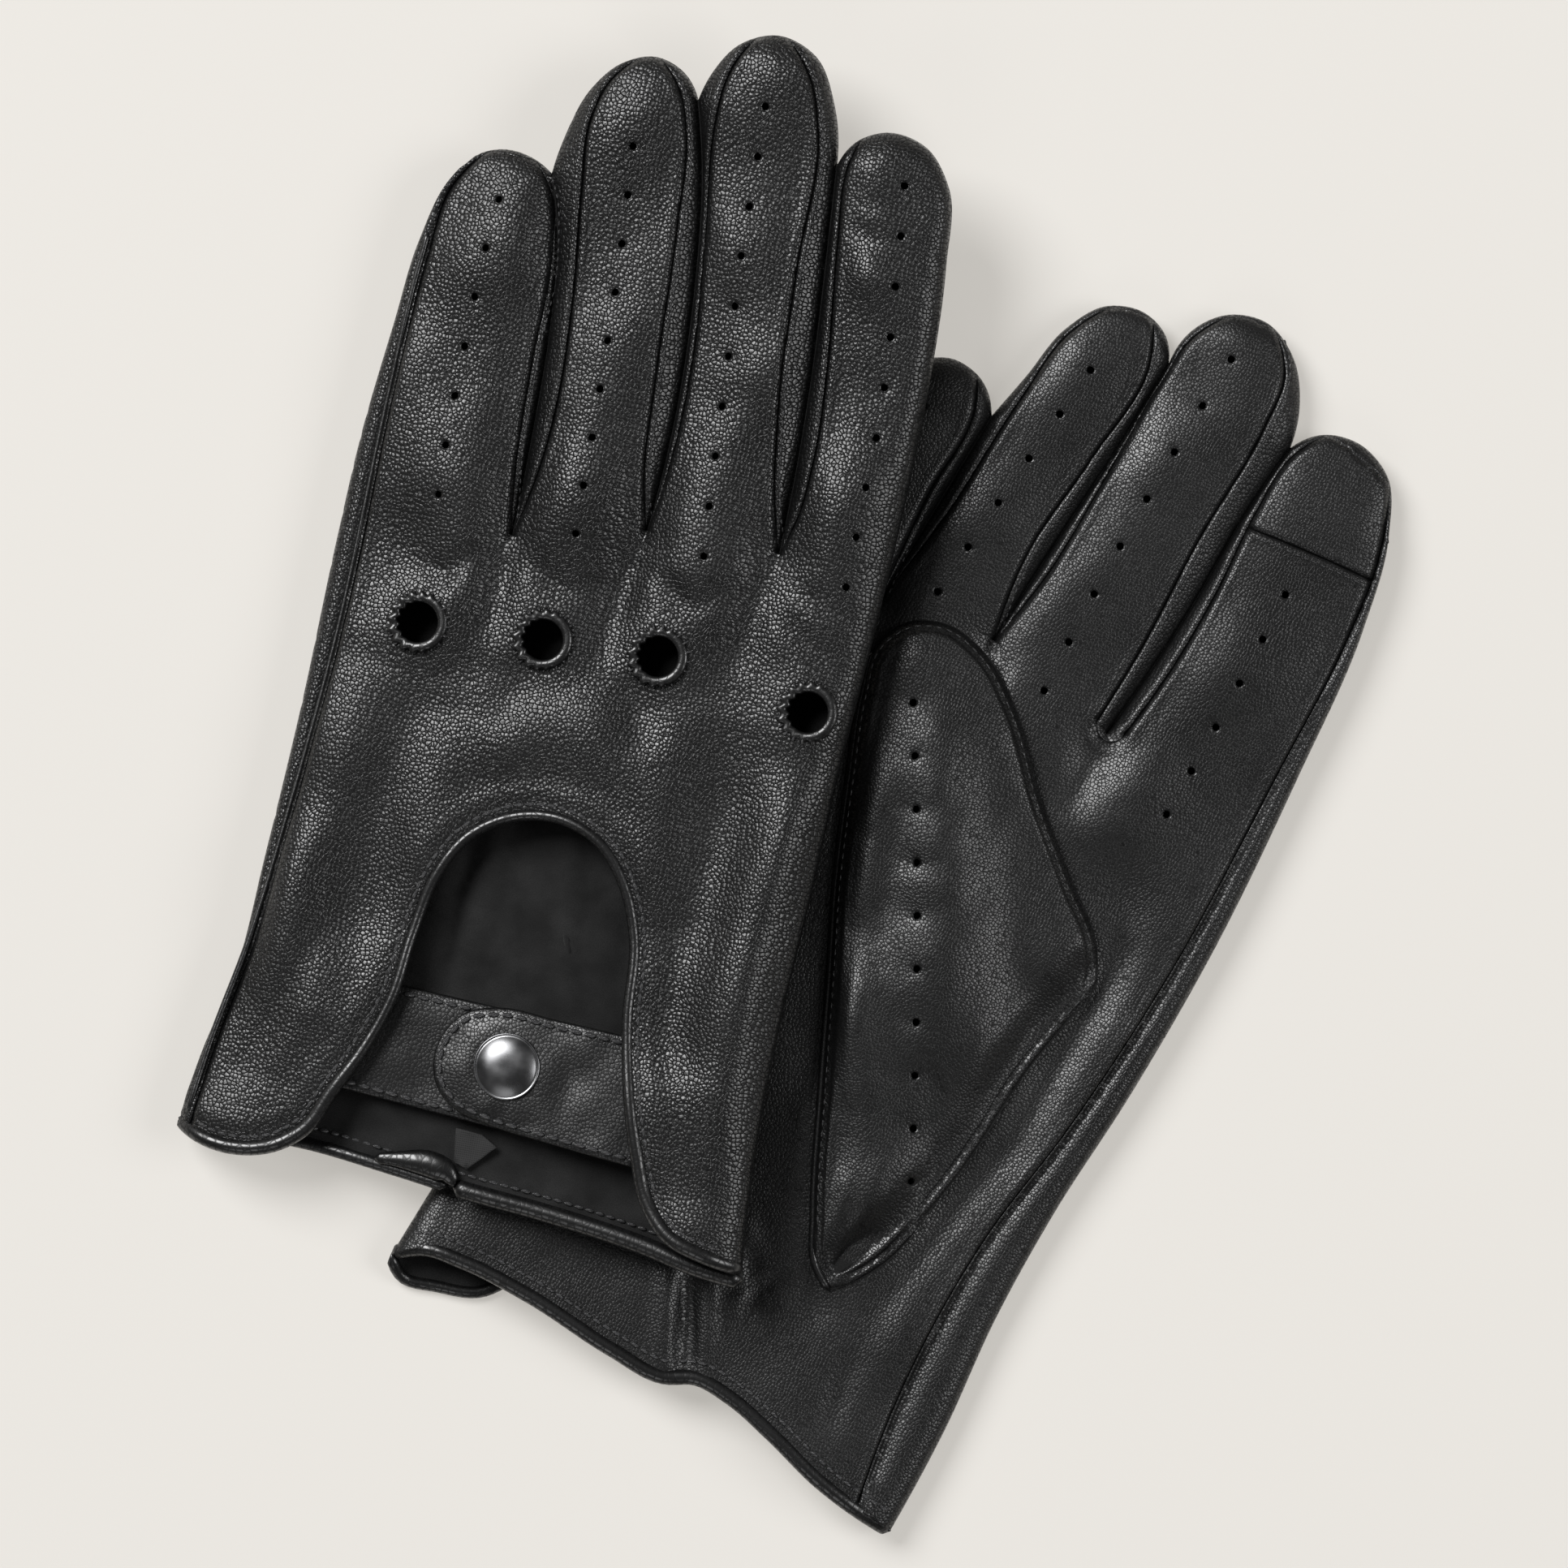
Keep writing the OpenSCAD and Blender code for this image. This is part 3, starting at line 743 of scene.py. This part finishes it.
def rolled_strip(p, h, gap, strip, seam, height):
    """Inside the strip the sheet rolls over like a flattened cord and dips to its seam."""
    from_seam = near(p, seam)[0]
    across = gap / np.maximum(gap + from_seam, 0.01)
    roll = height * (0.5 + 0.43 * rounded(across, 0.5, 2.2) - 0.12 * ramp(across, 0.55, 1))
    share = inside(p, strip) * ramp(from_seam, 0.1, 1.0) * ramp(np.hypot(*(p - seam[-1]).T), 1, 8)
    share *= ramp(np.hypot(*(p - seam[0]).T), 1, 8)
    return h * (1 - share) + roll * share


def left_upper(p, holes=()):
    """The height of the left glove's back."""
    gap = gap_to(p, LEFT_EDGES)
    seams = gap_to(p, LEFT_SEAMS)
    h = LEFT_HEIGHT / 2 + pillow(gap, LEFT_HEIGHT)
    soft = ramp(gap, 0.5, 7)
    h += soft * (1.15 * folds(p, LEFT_FOLDS) + 0.65 * waves(p, 32, 3) + 0.13 * waves(p, 14, 4))
    h += seam_dip(seams) * ramp(gap, 0.2, 1.2)
    h = rolled_strip(p, h, gap, LEFT_WRAP, LEFT_SEAMS[0], LEFT_HEIGHT)
    for hole in LEFT_HOLES:
        r = np.hypot(*(p - hole).T)
        h += 0.55 * hump(r - 5.4, 2.6)
    arch = near(p, LEFT_ARCH)[0]
    h -= 0.5 * hump(arch, 0.8)
    h += 0.35 * hump(arch - 1.15, 0.5) - 0.35 * hump(arch - 2.0, 0.4) + 0.4 * hump(arch - 4.2, 2.2)
    return h + punched(p, holes)


def right_upper(p, holes=()):
    """The height of the right glove's palm."""
    gap = gap_to(p, RIGHT_EDGES)
    h = RIGHT_HEIGHT / 2 + pillow(gap, RIGHT_HEIGHT)
    soft = ramp(gap, 0.5, 6)
    h += soft * (folds(p, RIGHT_FOLDS) + 0.45 * waves(p, 30, 7) + 0.08 * waves(p, 12, 8))
    h += seam_dip(gap_to(p, RIGHT_SEAMS)) * ramp(gap, 0.2, 1.2)
    h += seam_dip(near(p, PATCH_SEAM)[0]) * 0.7
    h += 0.35 * hump(near(p, RIGHT_WEB)[0] - 1.6, 1.0)
    h = rolled_strip(p, h, gap, RIGHT_WRAP, RIGHT_SEAMS[-1], RIGHT_HEIGHT)
    return h + punched(p, holes)


INSIDE_FOLDS = [(-9, 70, -12, 30, 2.2, 2.6), (-17, 60, -19, 34, 1.8, 1.6), (4, 66, 9, 28, 1.0, 1.9),
                (14, 62, 15, 34, 2.4, 1.8), (-24, 20, -20, 2, 3, 1.6)]


def lower(p, height, edges, seed):
    """The underside: flat where it rests, turned up at the sides to meet the upper sheet."""
    gap = gap_to(p, edges)
    creases = 0.5 * waves(p * [1.0, 0.3], 11, seed) + folds(p, INSIDE_FOLDS)
    return height / 2 - height / 2 * rounded(gap, 4.6) + np.maximum(creases, 0) * ramp(gap, 3, 12)


def left_lower(p):
    return lower(p, LEFT_HEIGHT, LEFT_EDGES, 11)


def right_lower(p):
    return lower(p, RIGHT_HEIGHT, RIGHT_EDGES, 12)


# ---- the gloves ----

STRIPS = ["fourchette_ring_little", "fourchette_middle_ring", "fourchette_index_middle"]


def dress(made, side, slot, *nodes, body="glove"):
    """The piece rides on its glove or on one of its bodies and hides the CAD nodes it stands for; its slot is
    not used.
    """
    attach(made, f"{side}_{body}")
    if nodes:
        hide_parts(*[f"{side}_{node}" for node in nodes])


def bend(pieces, side, fold):
    """Bakes each piece's placement into its mesh; the fold's ends are worked out, but nothing bends."""
    start, end = (tuple(place) for place in PLACE[side](fold))
    for made in pieces:
        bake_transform(made)


def up_and_down(seams):
    """Finger seams in order round the panel: down one, up the next."""
    return [seam if i % 2 == 0 else seam[::-1] for i, seam in enumerate(seams)]


def shares(middle, panel, meets, seam):
    """Whether each face is in the panel or past its long side seam, and its nearest fourchette."""
    in_panel = inside(middle, panel)
    zone = [near(middle, m)[0] for m in meets]
    past = ~in_panel & (near(middle, seam)[0] < np.minimum.reduce(zone))
    return in_panel, past, np.argmin(zone, axis=0)


def cut_sheet(side, flat, faces, height, strips, leather_of_strips, pieces):
    """Cuts a sheet into its pieces (name, faces, leather, slot, CAD nodes) and its fourchettes."""
    for k, name in enumerate(STRIPS):
        pieces.append((name + "_leather", strips == k, leather_of_strips, "back_leather", name))
    for name, mine, material, slot, *nodes in pieces:
        dress(cut_piece(name, side, flat, faces[mine], height, [material, SUEDE]), side, slot, *nodes)


def under_sheet(name, side, outline, meets, rims, spacing, level, material, slot, *nodes):
    """The sheet on the glove's underside, in one piece."""
    flat, faces = flat_mesh(outline, meets, rims, spacing=spacing, offsets=(0.5, 1.3, 2.6, 4.2))
    faces = upward(flat, faces, up=False)
    dress(cut_piece(name, side, flat, faces, level(flat), [material, SUEDE]), side, slot, *nodes)


def build_left():
    punches = dots(LEFT_DOTS)
    rims = [circle(c, RIM_HOLE, 36) for c in LEFT_HOLES]
    outline = join(LEFT_SIDES, LEFT_ARCH[::-1])[:-1]
    flat, faces = flat_mesh(outline, LEFT_MEETS + LEFT_SEAMS, punches + rims)
    faces = upward(flat, faces)
    outer, *fingers = LEFT_SEAMS
    panel = join(outer, *up_and_down(fingers), LEFT_INNER[8:], LEFT_ARCH[::-1])
    middle = flat[faces].mean(1)
    back, wrap, strip = shares(middle, panel, LEFT_MEETS, outer)
    wrap |= ~back & (middle[:, 0] < -36)
    strip[back | wrap] = -1
    cut_sheet("left", flat, faces, left_upper(flat, punches), strip, BACK, [
        ("back_leather", back, BACK, "back_leather", "back_panel"),
        ("palm_wrap", wrap, BACK, "palm_leather"),
    ])
    under_sheet("palm_leather", "left", join(LEFT_SIDES, LEFT_HEM[::-1])[:-1], LEFT_MEETS, [], 2.0,
                left_lower, PALM, "palm_leather", "palm_panel", "touch_patch")


def build_right():
    punches = dots(RIGHT_DOTS)
    outline = join(RIGHT_SIDES, RIGHT_HEM[::-1])[:-1]
    flat, faces = flat_mesh(outline, RIGHT_MEETS + RIGHT_SEAMS + [RIGHT_WEB, PATCH_SEAM], punches)
    faces = upward(flat, faces)
    *fingers, side_seam = RIGHT_SEAMS
    *first, last = up_and_down(fingers)
    panel = join(RIGHT_OUTER[:-6], *first, RIGHT_WEB, last, side_seam, RIGHT_HEM[::-1])
    middle = flat[faces].mean(1)
    palm, rolled, strip = shares(middle, panel, RIGHT_MEETS, side_seam)
    strip[palm | rolled] = -1
    patch = palm & (middle[:, 0] > 20) & (middle[:, 1] > np.interp(middle[:, 0], *PATCH_SEAM.T))
    cut_sheet("right", flat, faces, right_upper(flat, punches), strip, PALM, [
        ("palm_leather", palm & ~patch, PALM, "palm_leather", "palm_panel"),
        ("touch_leather", patch, PALM, "palm_leather", "touch_patch"),
        ("index_side", rolled, PALM, "back_leather"),
    ])
    rims = [circle(c, RIM_HOLE, 30) for c in RIGHT_HOLES]
    under_sheet("back_leather", "right", join(RIGHT_SIDES, RIGHT_ARCH[::-1])[:-1], RIGHT_MEETS, rims, 2.6,
                right_lower, BACK, "back_leather", "back_panel")


build_left()
build_right()


# ---- trims: rims, piping, hems, straps and sewing ----


def on_top(path, top, lift=0.0):
    """A flat path laid on a sheet, lift mm above it."""
    return np.column_stack([path, top(path) + lift])


def smoothed(values, times):
    """Running averages along a line, ends kept."""
    for _ in range(times):
        inner = (values[:-2] + 2 * values[1:-1] + values[2:]) / 4
        values = np.concatenate([values[:1], inner, values[-1:]])
    return values


def settled(path3, times=12):
    return np.column_stack([path3[:, :2], smoothed(path3[:, 2], times)])


def trim(name, side, path, radius, *nodes, material=PIPING, slot="binding_leather", **shape):
    """A cord of leather that rides on its glove."""
    dress(tube(name, side, path, radius, material, **shape), side, slot, *nodes)


def sew(name, side, paths, slot="binding_leather", **size):
    """Sewing that rides on its glove."""
    dress(thread(name, side, paths, **size), side, slot)


def lathe(name, side, centre, profile, material, around, up):
    """A turned shape on an upright axis; profile holds (radius, height) pairs."""
    x, y, z = centre
    rings = [np.column_stack([circle((x, y), r, around), np.full(around, z + h * up)]) for r, h in profile]
    faces = ring_faces(len(profile), around)
    if up < 0:
        faces = [quad[::-1] for quad in faces]
    points = np.vstack(rings)
    return mesh_object(f"{side}_{name}", PLACE[side](points), faces, points[:, :2], [material])


def rim_profile():
    """Half round, from the outer edge over the top to inside the hole."""
    turn = np.linspace(math.pi + 0.1, -0.35, 9)
    rise = 0.9 * np.sign(np.sin(turn)) * np.abs(np.sin(turn)) ** 0.6
    return list(zip(4.7 - 0.95 * np.cos(turn), rise))


def knuckle_rims(side, centres, top, up, lift):
    for i, c in enumerate(centres):
        height = float(np.mean(top(circle(c, 5.6, 12))))
        ring = lathe(f"rim_{i + 1}", side, (*c, height + lift), rim_profile(), PIPING, 120, up)
        beads(ring, side, c, 20)
        dress(ring, side, "binding_leather", *(["knuckle_rims"] if i == 0 else []))


def radial_stitches(side, centres, top, up):
    """Short stitches from each rim into the leather round it."""
    paths = []
    for c in centres:
        for turn in np.linspace(0, 2 * math.pi, 20, endpoint=False):
            out = np.array([math.cos(turn), math.sin(turn)])
            path = np.array([np.array(c) + out * r for r in (5.0, 5.7, 6.4)])
            paths.append(np.column_stack([path, top(path) + np.array([0.55, 0.3, -0.05]) * up]))
    sew("rim_stitches", side, paths, pitch=1.4, length=0.9, radius=0.24)


def beads(ring, side, centre, count):
    """Pinches the rim between its stitches."""
    mesh = ring.data
    at = PLACE[side](np.array([[*centre, 0.0]]))[0]
    co = np.zeros(len(mesh.vertices) * 3)
    mesh.vertices.foreach_get("co", co)
    co = co.reshape(-1, 3)
    away = co[:, :2] - at[:2]
    turn = np.arctan2(away[:, 1], away[:, 0])
    pinch = 1 + 0.06 * np.cos(count * turn) * ramp(np.hypot(*away.T) / MM, 4.3, 5.5)
    co[:, :2] = at[:2] + away * pinch[:, None]
    mesh.vertices.foreach_set("co", co.ravel())


def band(name, side, outline, level, up):
    """A flat strap part with rounded edges; level gives its outer face's height at each place."""
    flat, faces = flat_mesh(outline, spacing=1.5, offsets=(0.15, 0.45, 0.9, 1.6, 2.6))
    gap = near(flat, closed(outline))[0]
    height = level(flat) - up * 0.55 * (1 - rounded(gap, 0.7))
    return cut_piece(name, side, flat, upward(flat, faces, up > 0), height, [STRAP, SUEDE], 1.1)


STRAP_LEFT = -36.0
TAB_END = [(24.6, 28.9), (8, 29.8), (-3, 30.2), (-9.2, 28.2), (-12.8, 23.4), (-13.6, 18.6),
           (-12.2, 13.8), (-8.2, 10.2), (-2, 8.4), (10, 6.9), (27.5, 5.2)]
STRAP_BASE = [(8, 29.6), (-22, 31.2), (STRAP_LEFT, 32), (STRAP_LEFT, 10.8), (-22, 9.6), (8, 7.2)]


def base_level(p):
    return 5.0 + 2.0 * ramp(-p[:, 0], 14, 34) + 0.25 * waves(p, 14, 21) + 0.15 * hump(p[:, 1] - 20, 8)


def tab_level(p):
    """The tab lies level from under the lobe and dips to the strap base at its rounded end."""
    from_snap = np.hypot(p[:, 0] - SNAP[0], p[:, 1] - SNAP[1])
    dip = -1.1 * ramp(from_snap, 7, 13.5) * ramp(-p[:, 0], -12, 4)
    creases = folds(p, TAB_CREASES)
    return TAB_HEIGHT + dip + creases + 0.14 * waves(p, 10, 22) + 0.3 * ramp(p[:, 0], 12, 24)


TAB_CREASES = [(1, 12.4, 0, 8.4, 0.7, -0.3), (3, 12, 3.4, 7.6, 0.8, 0.25), (5.4, 12, 7, 7.8, 0.8, -0.28),
               (-2, 12.6, -3.6, 9, 0.7, 0.2), (8, 27, 8, 9, 2.2, 0.25), (12, 28, 13, 8, 1.6, -0.25)]


def strap(side, level, up):
    """The strap base, the tab that snaps over it, and their edge stitching; level turns them over."""
    base = band("strap_leather", side, polygon(STRAP_BASE, 2.0), lambda p: level(base_level(p)), up)
    dress(base, side, "strap_leather", "strap_base")
    edge = smooth(TAB_END)
    outline = join(edge, straight(TAB_END[-1], TAB_END[0]))[:-1]
    tab = band("tab_leather", side, outline, lambda p: level(tab_level(p)), up)
    stitch = {"pitch": 2.7, "radius": 0.52}
    sewn = beside(edge, 1.35)
    sewn = np.column_stack([sewn, level(tab_level(sewn)) + 0.25 * up])
    fold = [(x, 18.6, level(TAB_HEIGHT)) for x in (24, 15)]
    sewing = thread("tab_stitches", side, [sewn], **stitch)
    bend([tab, sewing], side, fold)
    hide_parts(side + "_strap_tab", side + "_strap_root")
    edges = [smooth([(8, 28.2), (-22, 29.8), (STRAP_LEFT + 1, 30.6)]),
             smooth([(8, 8.6), (-22, 11), (STRAP_LEFT + 1, 12.2)])]
    sewn = [np.column_stack([e, level(base_level(e)) + 0.25 * up]) for e in edges]
    sew("strap_stitches", side, sewn, "strap_leather", **stitch)


def snap(side, level, up):
    """The domed cap: a thin rolled rim round a shallow spun dome."""
    dome = [(5.75 * a, 0.5 + 1.2 * (1 - a**2.8)) for a in np.linspace(0, 1, 22)]
    rim = [(5.85, 0.5), (6.0, 0.62), (6.2, 0.6), (6.3, 0.4), (6.28, 0.15), (6.1, 0.0)]
    cap = lathe("snap_dome", side, (*SNAP, level(TAB_HEIGHT)), (dome + rim)[::-1], NICKEL, 96, up)
    dress(cap, side, "snap_metal", "snap_cap", body="tab")


def finger_stitches(side, seams, offset, top, slot, radius, extra=()):
    """Fine sewing beside some of the finger seams."""
    fine = [on_top(beside(part(seam, 0.03, 0.97), offset), top, 0.05) for seam in seams]
    sew("finger_stitches", side, fine + list(extra), slot, pitch=1.7, length=0.6, radius=radius)


def left_hem(line):
    """A line near the edge of the left palm's cuff, with the underside's height."""
    return np.column_stack([line, smoothed(left_lower(line), 30)])


def left_trims():
    side = "left"
    knuckle_rims(side, LEFT_HOLES, left_upper, 1, 0.2)
    radial_stitches(side, LEFT_HOLES, left_upper, 1)
    strap(side, lambda z: z, 1)
    snap(side, lambda z: z, 1)
    thick = 1.08 + 0.4 * ramp(-LEFT_ARCH[:, 1], -30, 2)
    path = settled(on_top(LEFT_ARCH, left_upper, 0.15))
    trim("piping", side, path, thick, "keyhole_binding", "back_cuff_binding")
    hem = left_hem(LEFT_HEM) + [0, 0, 1.3]
    rolled = hem[:, 0] > -7.5
    thick_hem = hem[rolled] + [0, 0.2, 0.3]
    trim("palm_hem", side, thick_hem, 1.75, "palm_cuff_binding", flatten=0.9, around=12)
    trim("palm_hem_plain", side, hem[~rolled], 1.2, flatten=0.8, around=12)
    lip = smooth([(-22, -1.6), (-16, -0.9), (-11, -0.9), (-7.4, -2.2), (-6.2, -4.2)])
    lip = np.column_stack([lip, np.full(len(lip), 2.9)])
    fat = 1.1 + 1.4 * ramp(lip[:, 0], -21, -11) * ramp(-lip[:, 0], 6, 9)
    trim("palm_hem_lip", side, lip, fat, flatten=0.55, around=12)
    inside_hem = left_hem(beside(part(LEFT_HEM, 0.12, 0.96), 3.1)) + [0, 0, 1.15]
    inside_arch = on_top(beside(part(LEFT_ARCH, 0.02, 0.98), 2.0), left_upper, 0.3)
    sew("binding_stitches", side, [inside_arch, inside_hem])
    finger_stitches(side, LEFT_SEAMS[1:6:2], 1.0, left_upper, "back_leather", 0.2)
    ridge = settled(on_top(beside(part(LEFT_SEAMS[0], 0.01, 0.9), 1.15), left_upper, -0.1), 6)
    trim("side_ridge", side, ridge, 0.62)


def right_trims():
    side = "right"
    knuckle_rims(side, RIGHT_HOLES, right_lower, -1, 1.3)
    strap(side, lambda z: RIGHT_HEIGHT - z + 0.8, -1)
    snap(side, lambda z: RIGHT_HEIGHT - z + 1.6, -1)
    path = settled(on_top(RIGHT_ARCH, right_lower, 0.9))
    trim("piping", side, path, 1.15, "keyhole_binding", "back_cuff_binding")
    hem = settled(on_top(RIGHT_HEM, right_upper, -0.5), 30)
    trim("palm_hem", side, hem, 1.45, "palm_cuff_binding", flatten=0.9, around=12)
    sew("hem_stitches", side, [on_top(beside(part(RIGHT_HEM, 0.04, 0.98), 3.0), right_upper, 0.1)])
    patch = on_top(beside(part(PATCH_SEAM, 0.05, 0.95), -1.3), right_upper, 0.05)
    finger_stitches(side, RIGHT_SEAMS[0:5:2], 1.0, right_upper, "palm_leather", 0.18, [patch])


# ---- thumbs ----

THUMB_LOW = 8.4
THUMB_RISE = 6.6
THUMB_BASE = smooth([(38, 93.4), (34.2, 73), (30.8, 43.5), (20.6, 19.6)])
THUMB_FOLDS = [
    (-13, 130, 8, 88, 8, 1.8), (2, 92, 16, 62, 7, 1.5), (-12, 112, -2, 84, 3, -0.8),
    (-4, 74, 10, 46, 4, 1.0), (-18, 116, -6, 82, 3.5, 1.2), (0, 68, 16, 28, 3.0, -1.2),
    (-6, 82, 8, 50, 5, 1.3), (12, 42, 18, 26, 1.6, 0.9),
    (22, 34, 20, 21, 1.2, -1.4), (17, 36, 17, 24, 1.0, -0.8), (-24, 118, -6, 74, 1.4, -0.5),
    (2, 104, 22, 62, 7, 1.0), (14, 106, 33, 78, 5, -0.8), (-22, 130, -6, 124, 4, -0.6),
    (20, 72, 27, 44, 4, -0.9),
    (-14, 96, -12, 100, 1.0, -0.4), (8, 62, 20, 58, 1.2, -0.3), (10, 66, 22, 63, 1.0, -0.25),
    (-8, 96, 4, 100, 1.4, -0.3),
]


def thumb_top(p, holes=()):
    gap = near(p, closed(THUMB))[0]
    base = near(p, THUMB_BASE)[0]
    body = 0.56 * rounded(gap, 4.2, 2.4) + 0.44 * (1 - (1 - np.clip(gap / 22, 0, 1)) ** 2)
    h = THUMB_LOW + THUMB_RISE * body * (0.3 + 0.7 * ramp(base, 2.0, 9.5))
    h += ramp(gap, 0.5, 5) * (folds(p, THUMB_FOLDS) + 0.4 * waves(p, 22, 31) + 0.06 * waves(p, 7, 32))
    h += 0.5 * hump(base - 0.9, 0.7) - 0.3 * hump(gap - 1.8, 0.35) + 0.2 * hump(gap - 2.6, 0.5)
    for hole in holes:
        away = p - hole.mean(0)
        h -= 0.35 * hump(np.abs(away @ [0.89, 0.45]) - 1.9, 0.5) * hump(away @ [-0.45, 0.89], 1.6)
    return h + punched(p, holes, 1.6, 0.4)


def thumb_half(name, side, flat, faces, height, up, thickness=LEATHER):
    """One leather half of a thumb."""
    return cut_piece(name, side, flat, upward(flat, faces, up), height, [PALM, SUEDE], thickness)


def right_thumb():
    side = "right"
    holes = dots([THUMB_DOTS])
    flat, faces = flat_mesh(THUMB, [closed(inset_loop(THUMB, 2.2))], holes, spacing=1.5)
    top = thumb_half("thumb_leather", side, flat, faces, thumb_top(flat, holes), True)
    flat, faces = flat_mesh(THUMB, spacing=3.0, offsets=(0.6, 1.6, 3.0))
    under = np.full(len(flat), THUMB_LOW - 0.1)
    bottom = thumb_half("thumb_inner_leather", side, flat, faces, under, False, 0.8)
    sewn = on_top(part(closed(inset_loop(THUMB, 1.1)), 0.04, 0.96), thumb_top, -0.04)
    sewing = thread("thumb_stitches", side, [sewn], pitch=2.0, length=0.6, radius=0.16)
    raw = part(THUMB, 0.0, 0.42)
    edge = np.column_stack([beside(raw, -0.3), np.full(len(raw), THUMB_LOW + 1.0)])
    piping = tube("thumb_edge", side, edge, 0.8, PIPING, flatten=1.4, around=8)
    bend([top, bottom, sewing, piping], side, [(32, 56, 10), (24, 59, 10)])
    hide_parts("right_thumb_outer")
    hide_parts("right_thumb_inner")


def inset_loop(loop, distance):
    """A closed loop drawn in by a distance, without the places that would fold over."""
    way = np.roll(loop, -1, axis=0) - np.roll(loop, 1, axis=0)
    normal = unit(np.column_stack([-way[:, 1], way[:, 0]]))
    for sign in (1, -1):
        moved = loop + normal * distance * sign
        if inside(moved, loop).mean() > 0.5:
            break
    keep = near(moved, closed(loop))[0] > distance * 0.95
    return moved[keep]


def left_thumb():
    """The left thumb, pressed flat between the gloves."""
    turn = math.radians(-20)
    c, s = math.cos(turn), math.sin(turn)
    pivot = np.array([28, 60])
    loop = (THUMB - pivot) @ np.array([[c, s], [-s, c]]) + pivot
    flat, faces = flat_mesh(loop, spacing=2.6, offsets=(0.4, 1.0, 2.0, 3.2))
    swell = 1.6 * rounded(near(flat, closed(loop))[0], 2.5)
    for name, node, up in (("inner_leather", "inner", True), ("leather", "outer", False)):
        height = -1.7 + swell if up else -1.7 - swell
        made = thumb_half("thumb_" + name, "left", flat, faces, height, up, 0.8)
        dress(made, "left", "palm_leather", "thumb_" + node)


# ---- inside the gloves ----


def strip_inside(name, side, corners, level, material, slot, *nodes):
    """A thin woven strip sewn to the suede."""
    flat, faces = flat_mesh(polygon(corners), spacing=1.0, offsets=(0.3,))
    made = cut_piece(name, side, flat, upward(flat, faces), level(flat), [material, material], 0.4)
    dress(made, side, slot, *nodes)


def linings():
    tag = [(-7.6, 6.6), (-2.6, 6.2), (0.6, 4.4), (-4.4, -0.6), (-7.0, 0.4)]
    strip_inside("tag", "left", tag, lambda p: 2.2 + 0.12 * (p[:, 1] + 2) + 0.3 * waves(p, 5, 41), TAG,
                 "woven_tag", "size_tag")
    path = smooth([(4.1, 66), (4.3, 56.3), (5.3, 48.8), (7.7, 41.5), (10.2, 34.2)])
    seam = on_top(path, left_lower, 0.1)
    trim("inside_seam", "left", seam, 0.6, material=SUEDE, slot="palm_leather")
    elastic = [(-14, 14), (16, 14), (16, 19), (-14, 19)]
    for side, level in (("left", 1.5), ("right", RIGHT_HEIGHT - 1.1)):
        strip_inside("elastic", side, elastic, lambda p: level + 0.25 * np.sin(p[:, 0] * 2.4), ELASTIC,
                     "elastic", "wrist_elastic")


left_trims()
right_trims()
right_thumb()
left_thumb()
linings()
for node in frame["nodes"].values():
    if not node.hide_render:
        node.data.materials.clear()
        node.data.materials.append(NICKEL)


# ---- floor, light and camera ----


def floor_material():
    material, tree, where = nodes_of("floor_paint", "Object")
    mottle = noise(tree, where, 3, 2)
    surface(tree, Base_Color=two_tone(tree, mottle, (0.265, 0.258, 0.247), (0.27, 0.263, 0.252)),
            Roughness=0.9, Specular_IOR_Level=0.1,
            Emission_Color=(0.44, 0.422, 0.392, 1), Emission_Strength=1.0)
    return material


def floor():
    size = 3.0
    ring = [(-size, -size, 0), (size, -size, 0), (size, size, 0), (-size, size, 0)]
    made = mesh_object("floor", ring, [(0, 1, 2, 3)], materials=[floor_material()])


def area_light(name, at, target, size, power):
    lamp = bpy.data.lights.new(name, "AREA")
    lamp.shape = "DISK"
    lamp.size = size
    lamp.energy = power
    made = bpy.data.objects.new(name, lamp)
    made.location = at
    made.rotation_euler = (Vector(target) - Vector(at)).to_track_quat("-Z", "Y").to_euler()
    bpy.context.scene.collection.objects.link(made)


def studio():
    world = bpy.data.worlds.new("studio")
    world.use_nodes = True
    glow = world.node_tree.nodes["Background"].inputs
    glow[0].default_value = (1, 0.995, 0.985, 1)
    glow[1].default_value = 0.1
    bpy.context.scene.world = world
    bpy.context.scene.view_settings.view_transform = "Standard"
    area_light("key", (-2.2, 1.5, 2.7), (0, 0, 0), 2.1, 205)
    area_light("side", (2.5, 0.3, 2.2), (0, 0, 0), 1.9, 60)
    area_light("front", (-0.6, -2.6, 2.2), (0, 0, 0), 1.8, 14)


def camera():
    view = bpy.data.cameras.new("camera")
    made = bpy.data.objects.new("camera", view)
    distance = 5.0
    frame_width = 0.2937
    view.lens = view.sensor_width * distance / frame_width
    made.location = (0.0008, -0.0024, distance)
    made.rotation_euler = (0, 0, math.radians(10))
    bpy.context.scene.collection.objects.link(made)
    bpy.context.scene.camera = made


floor()
studio()
camera()
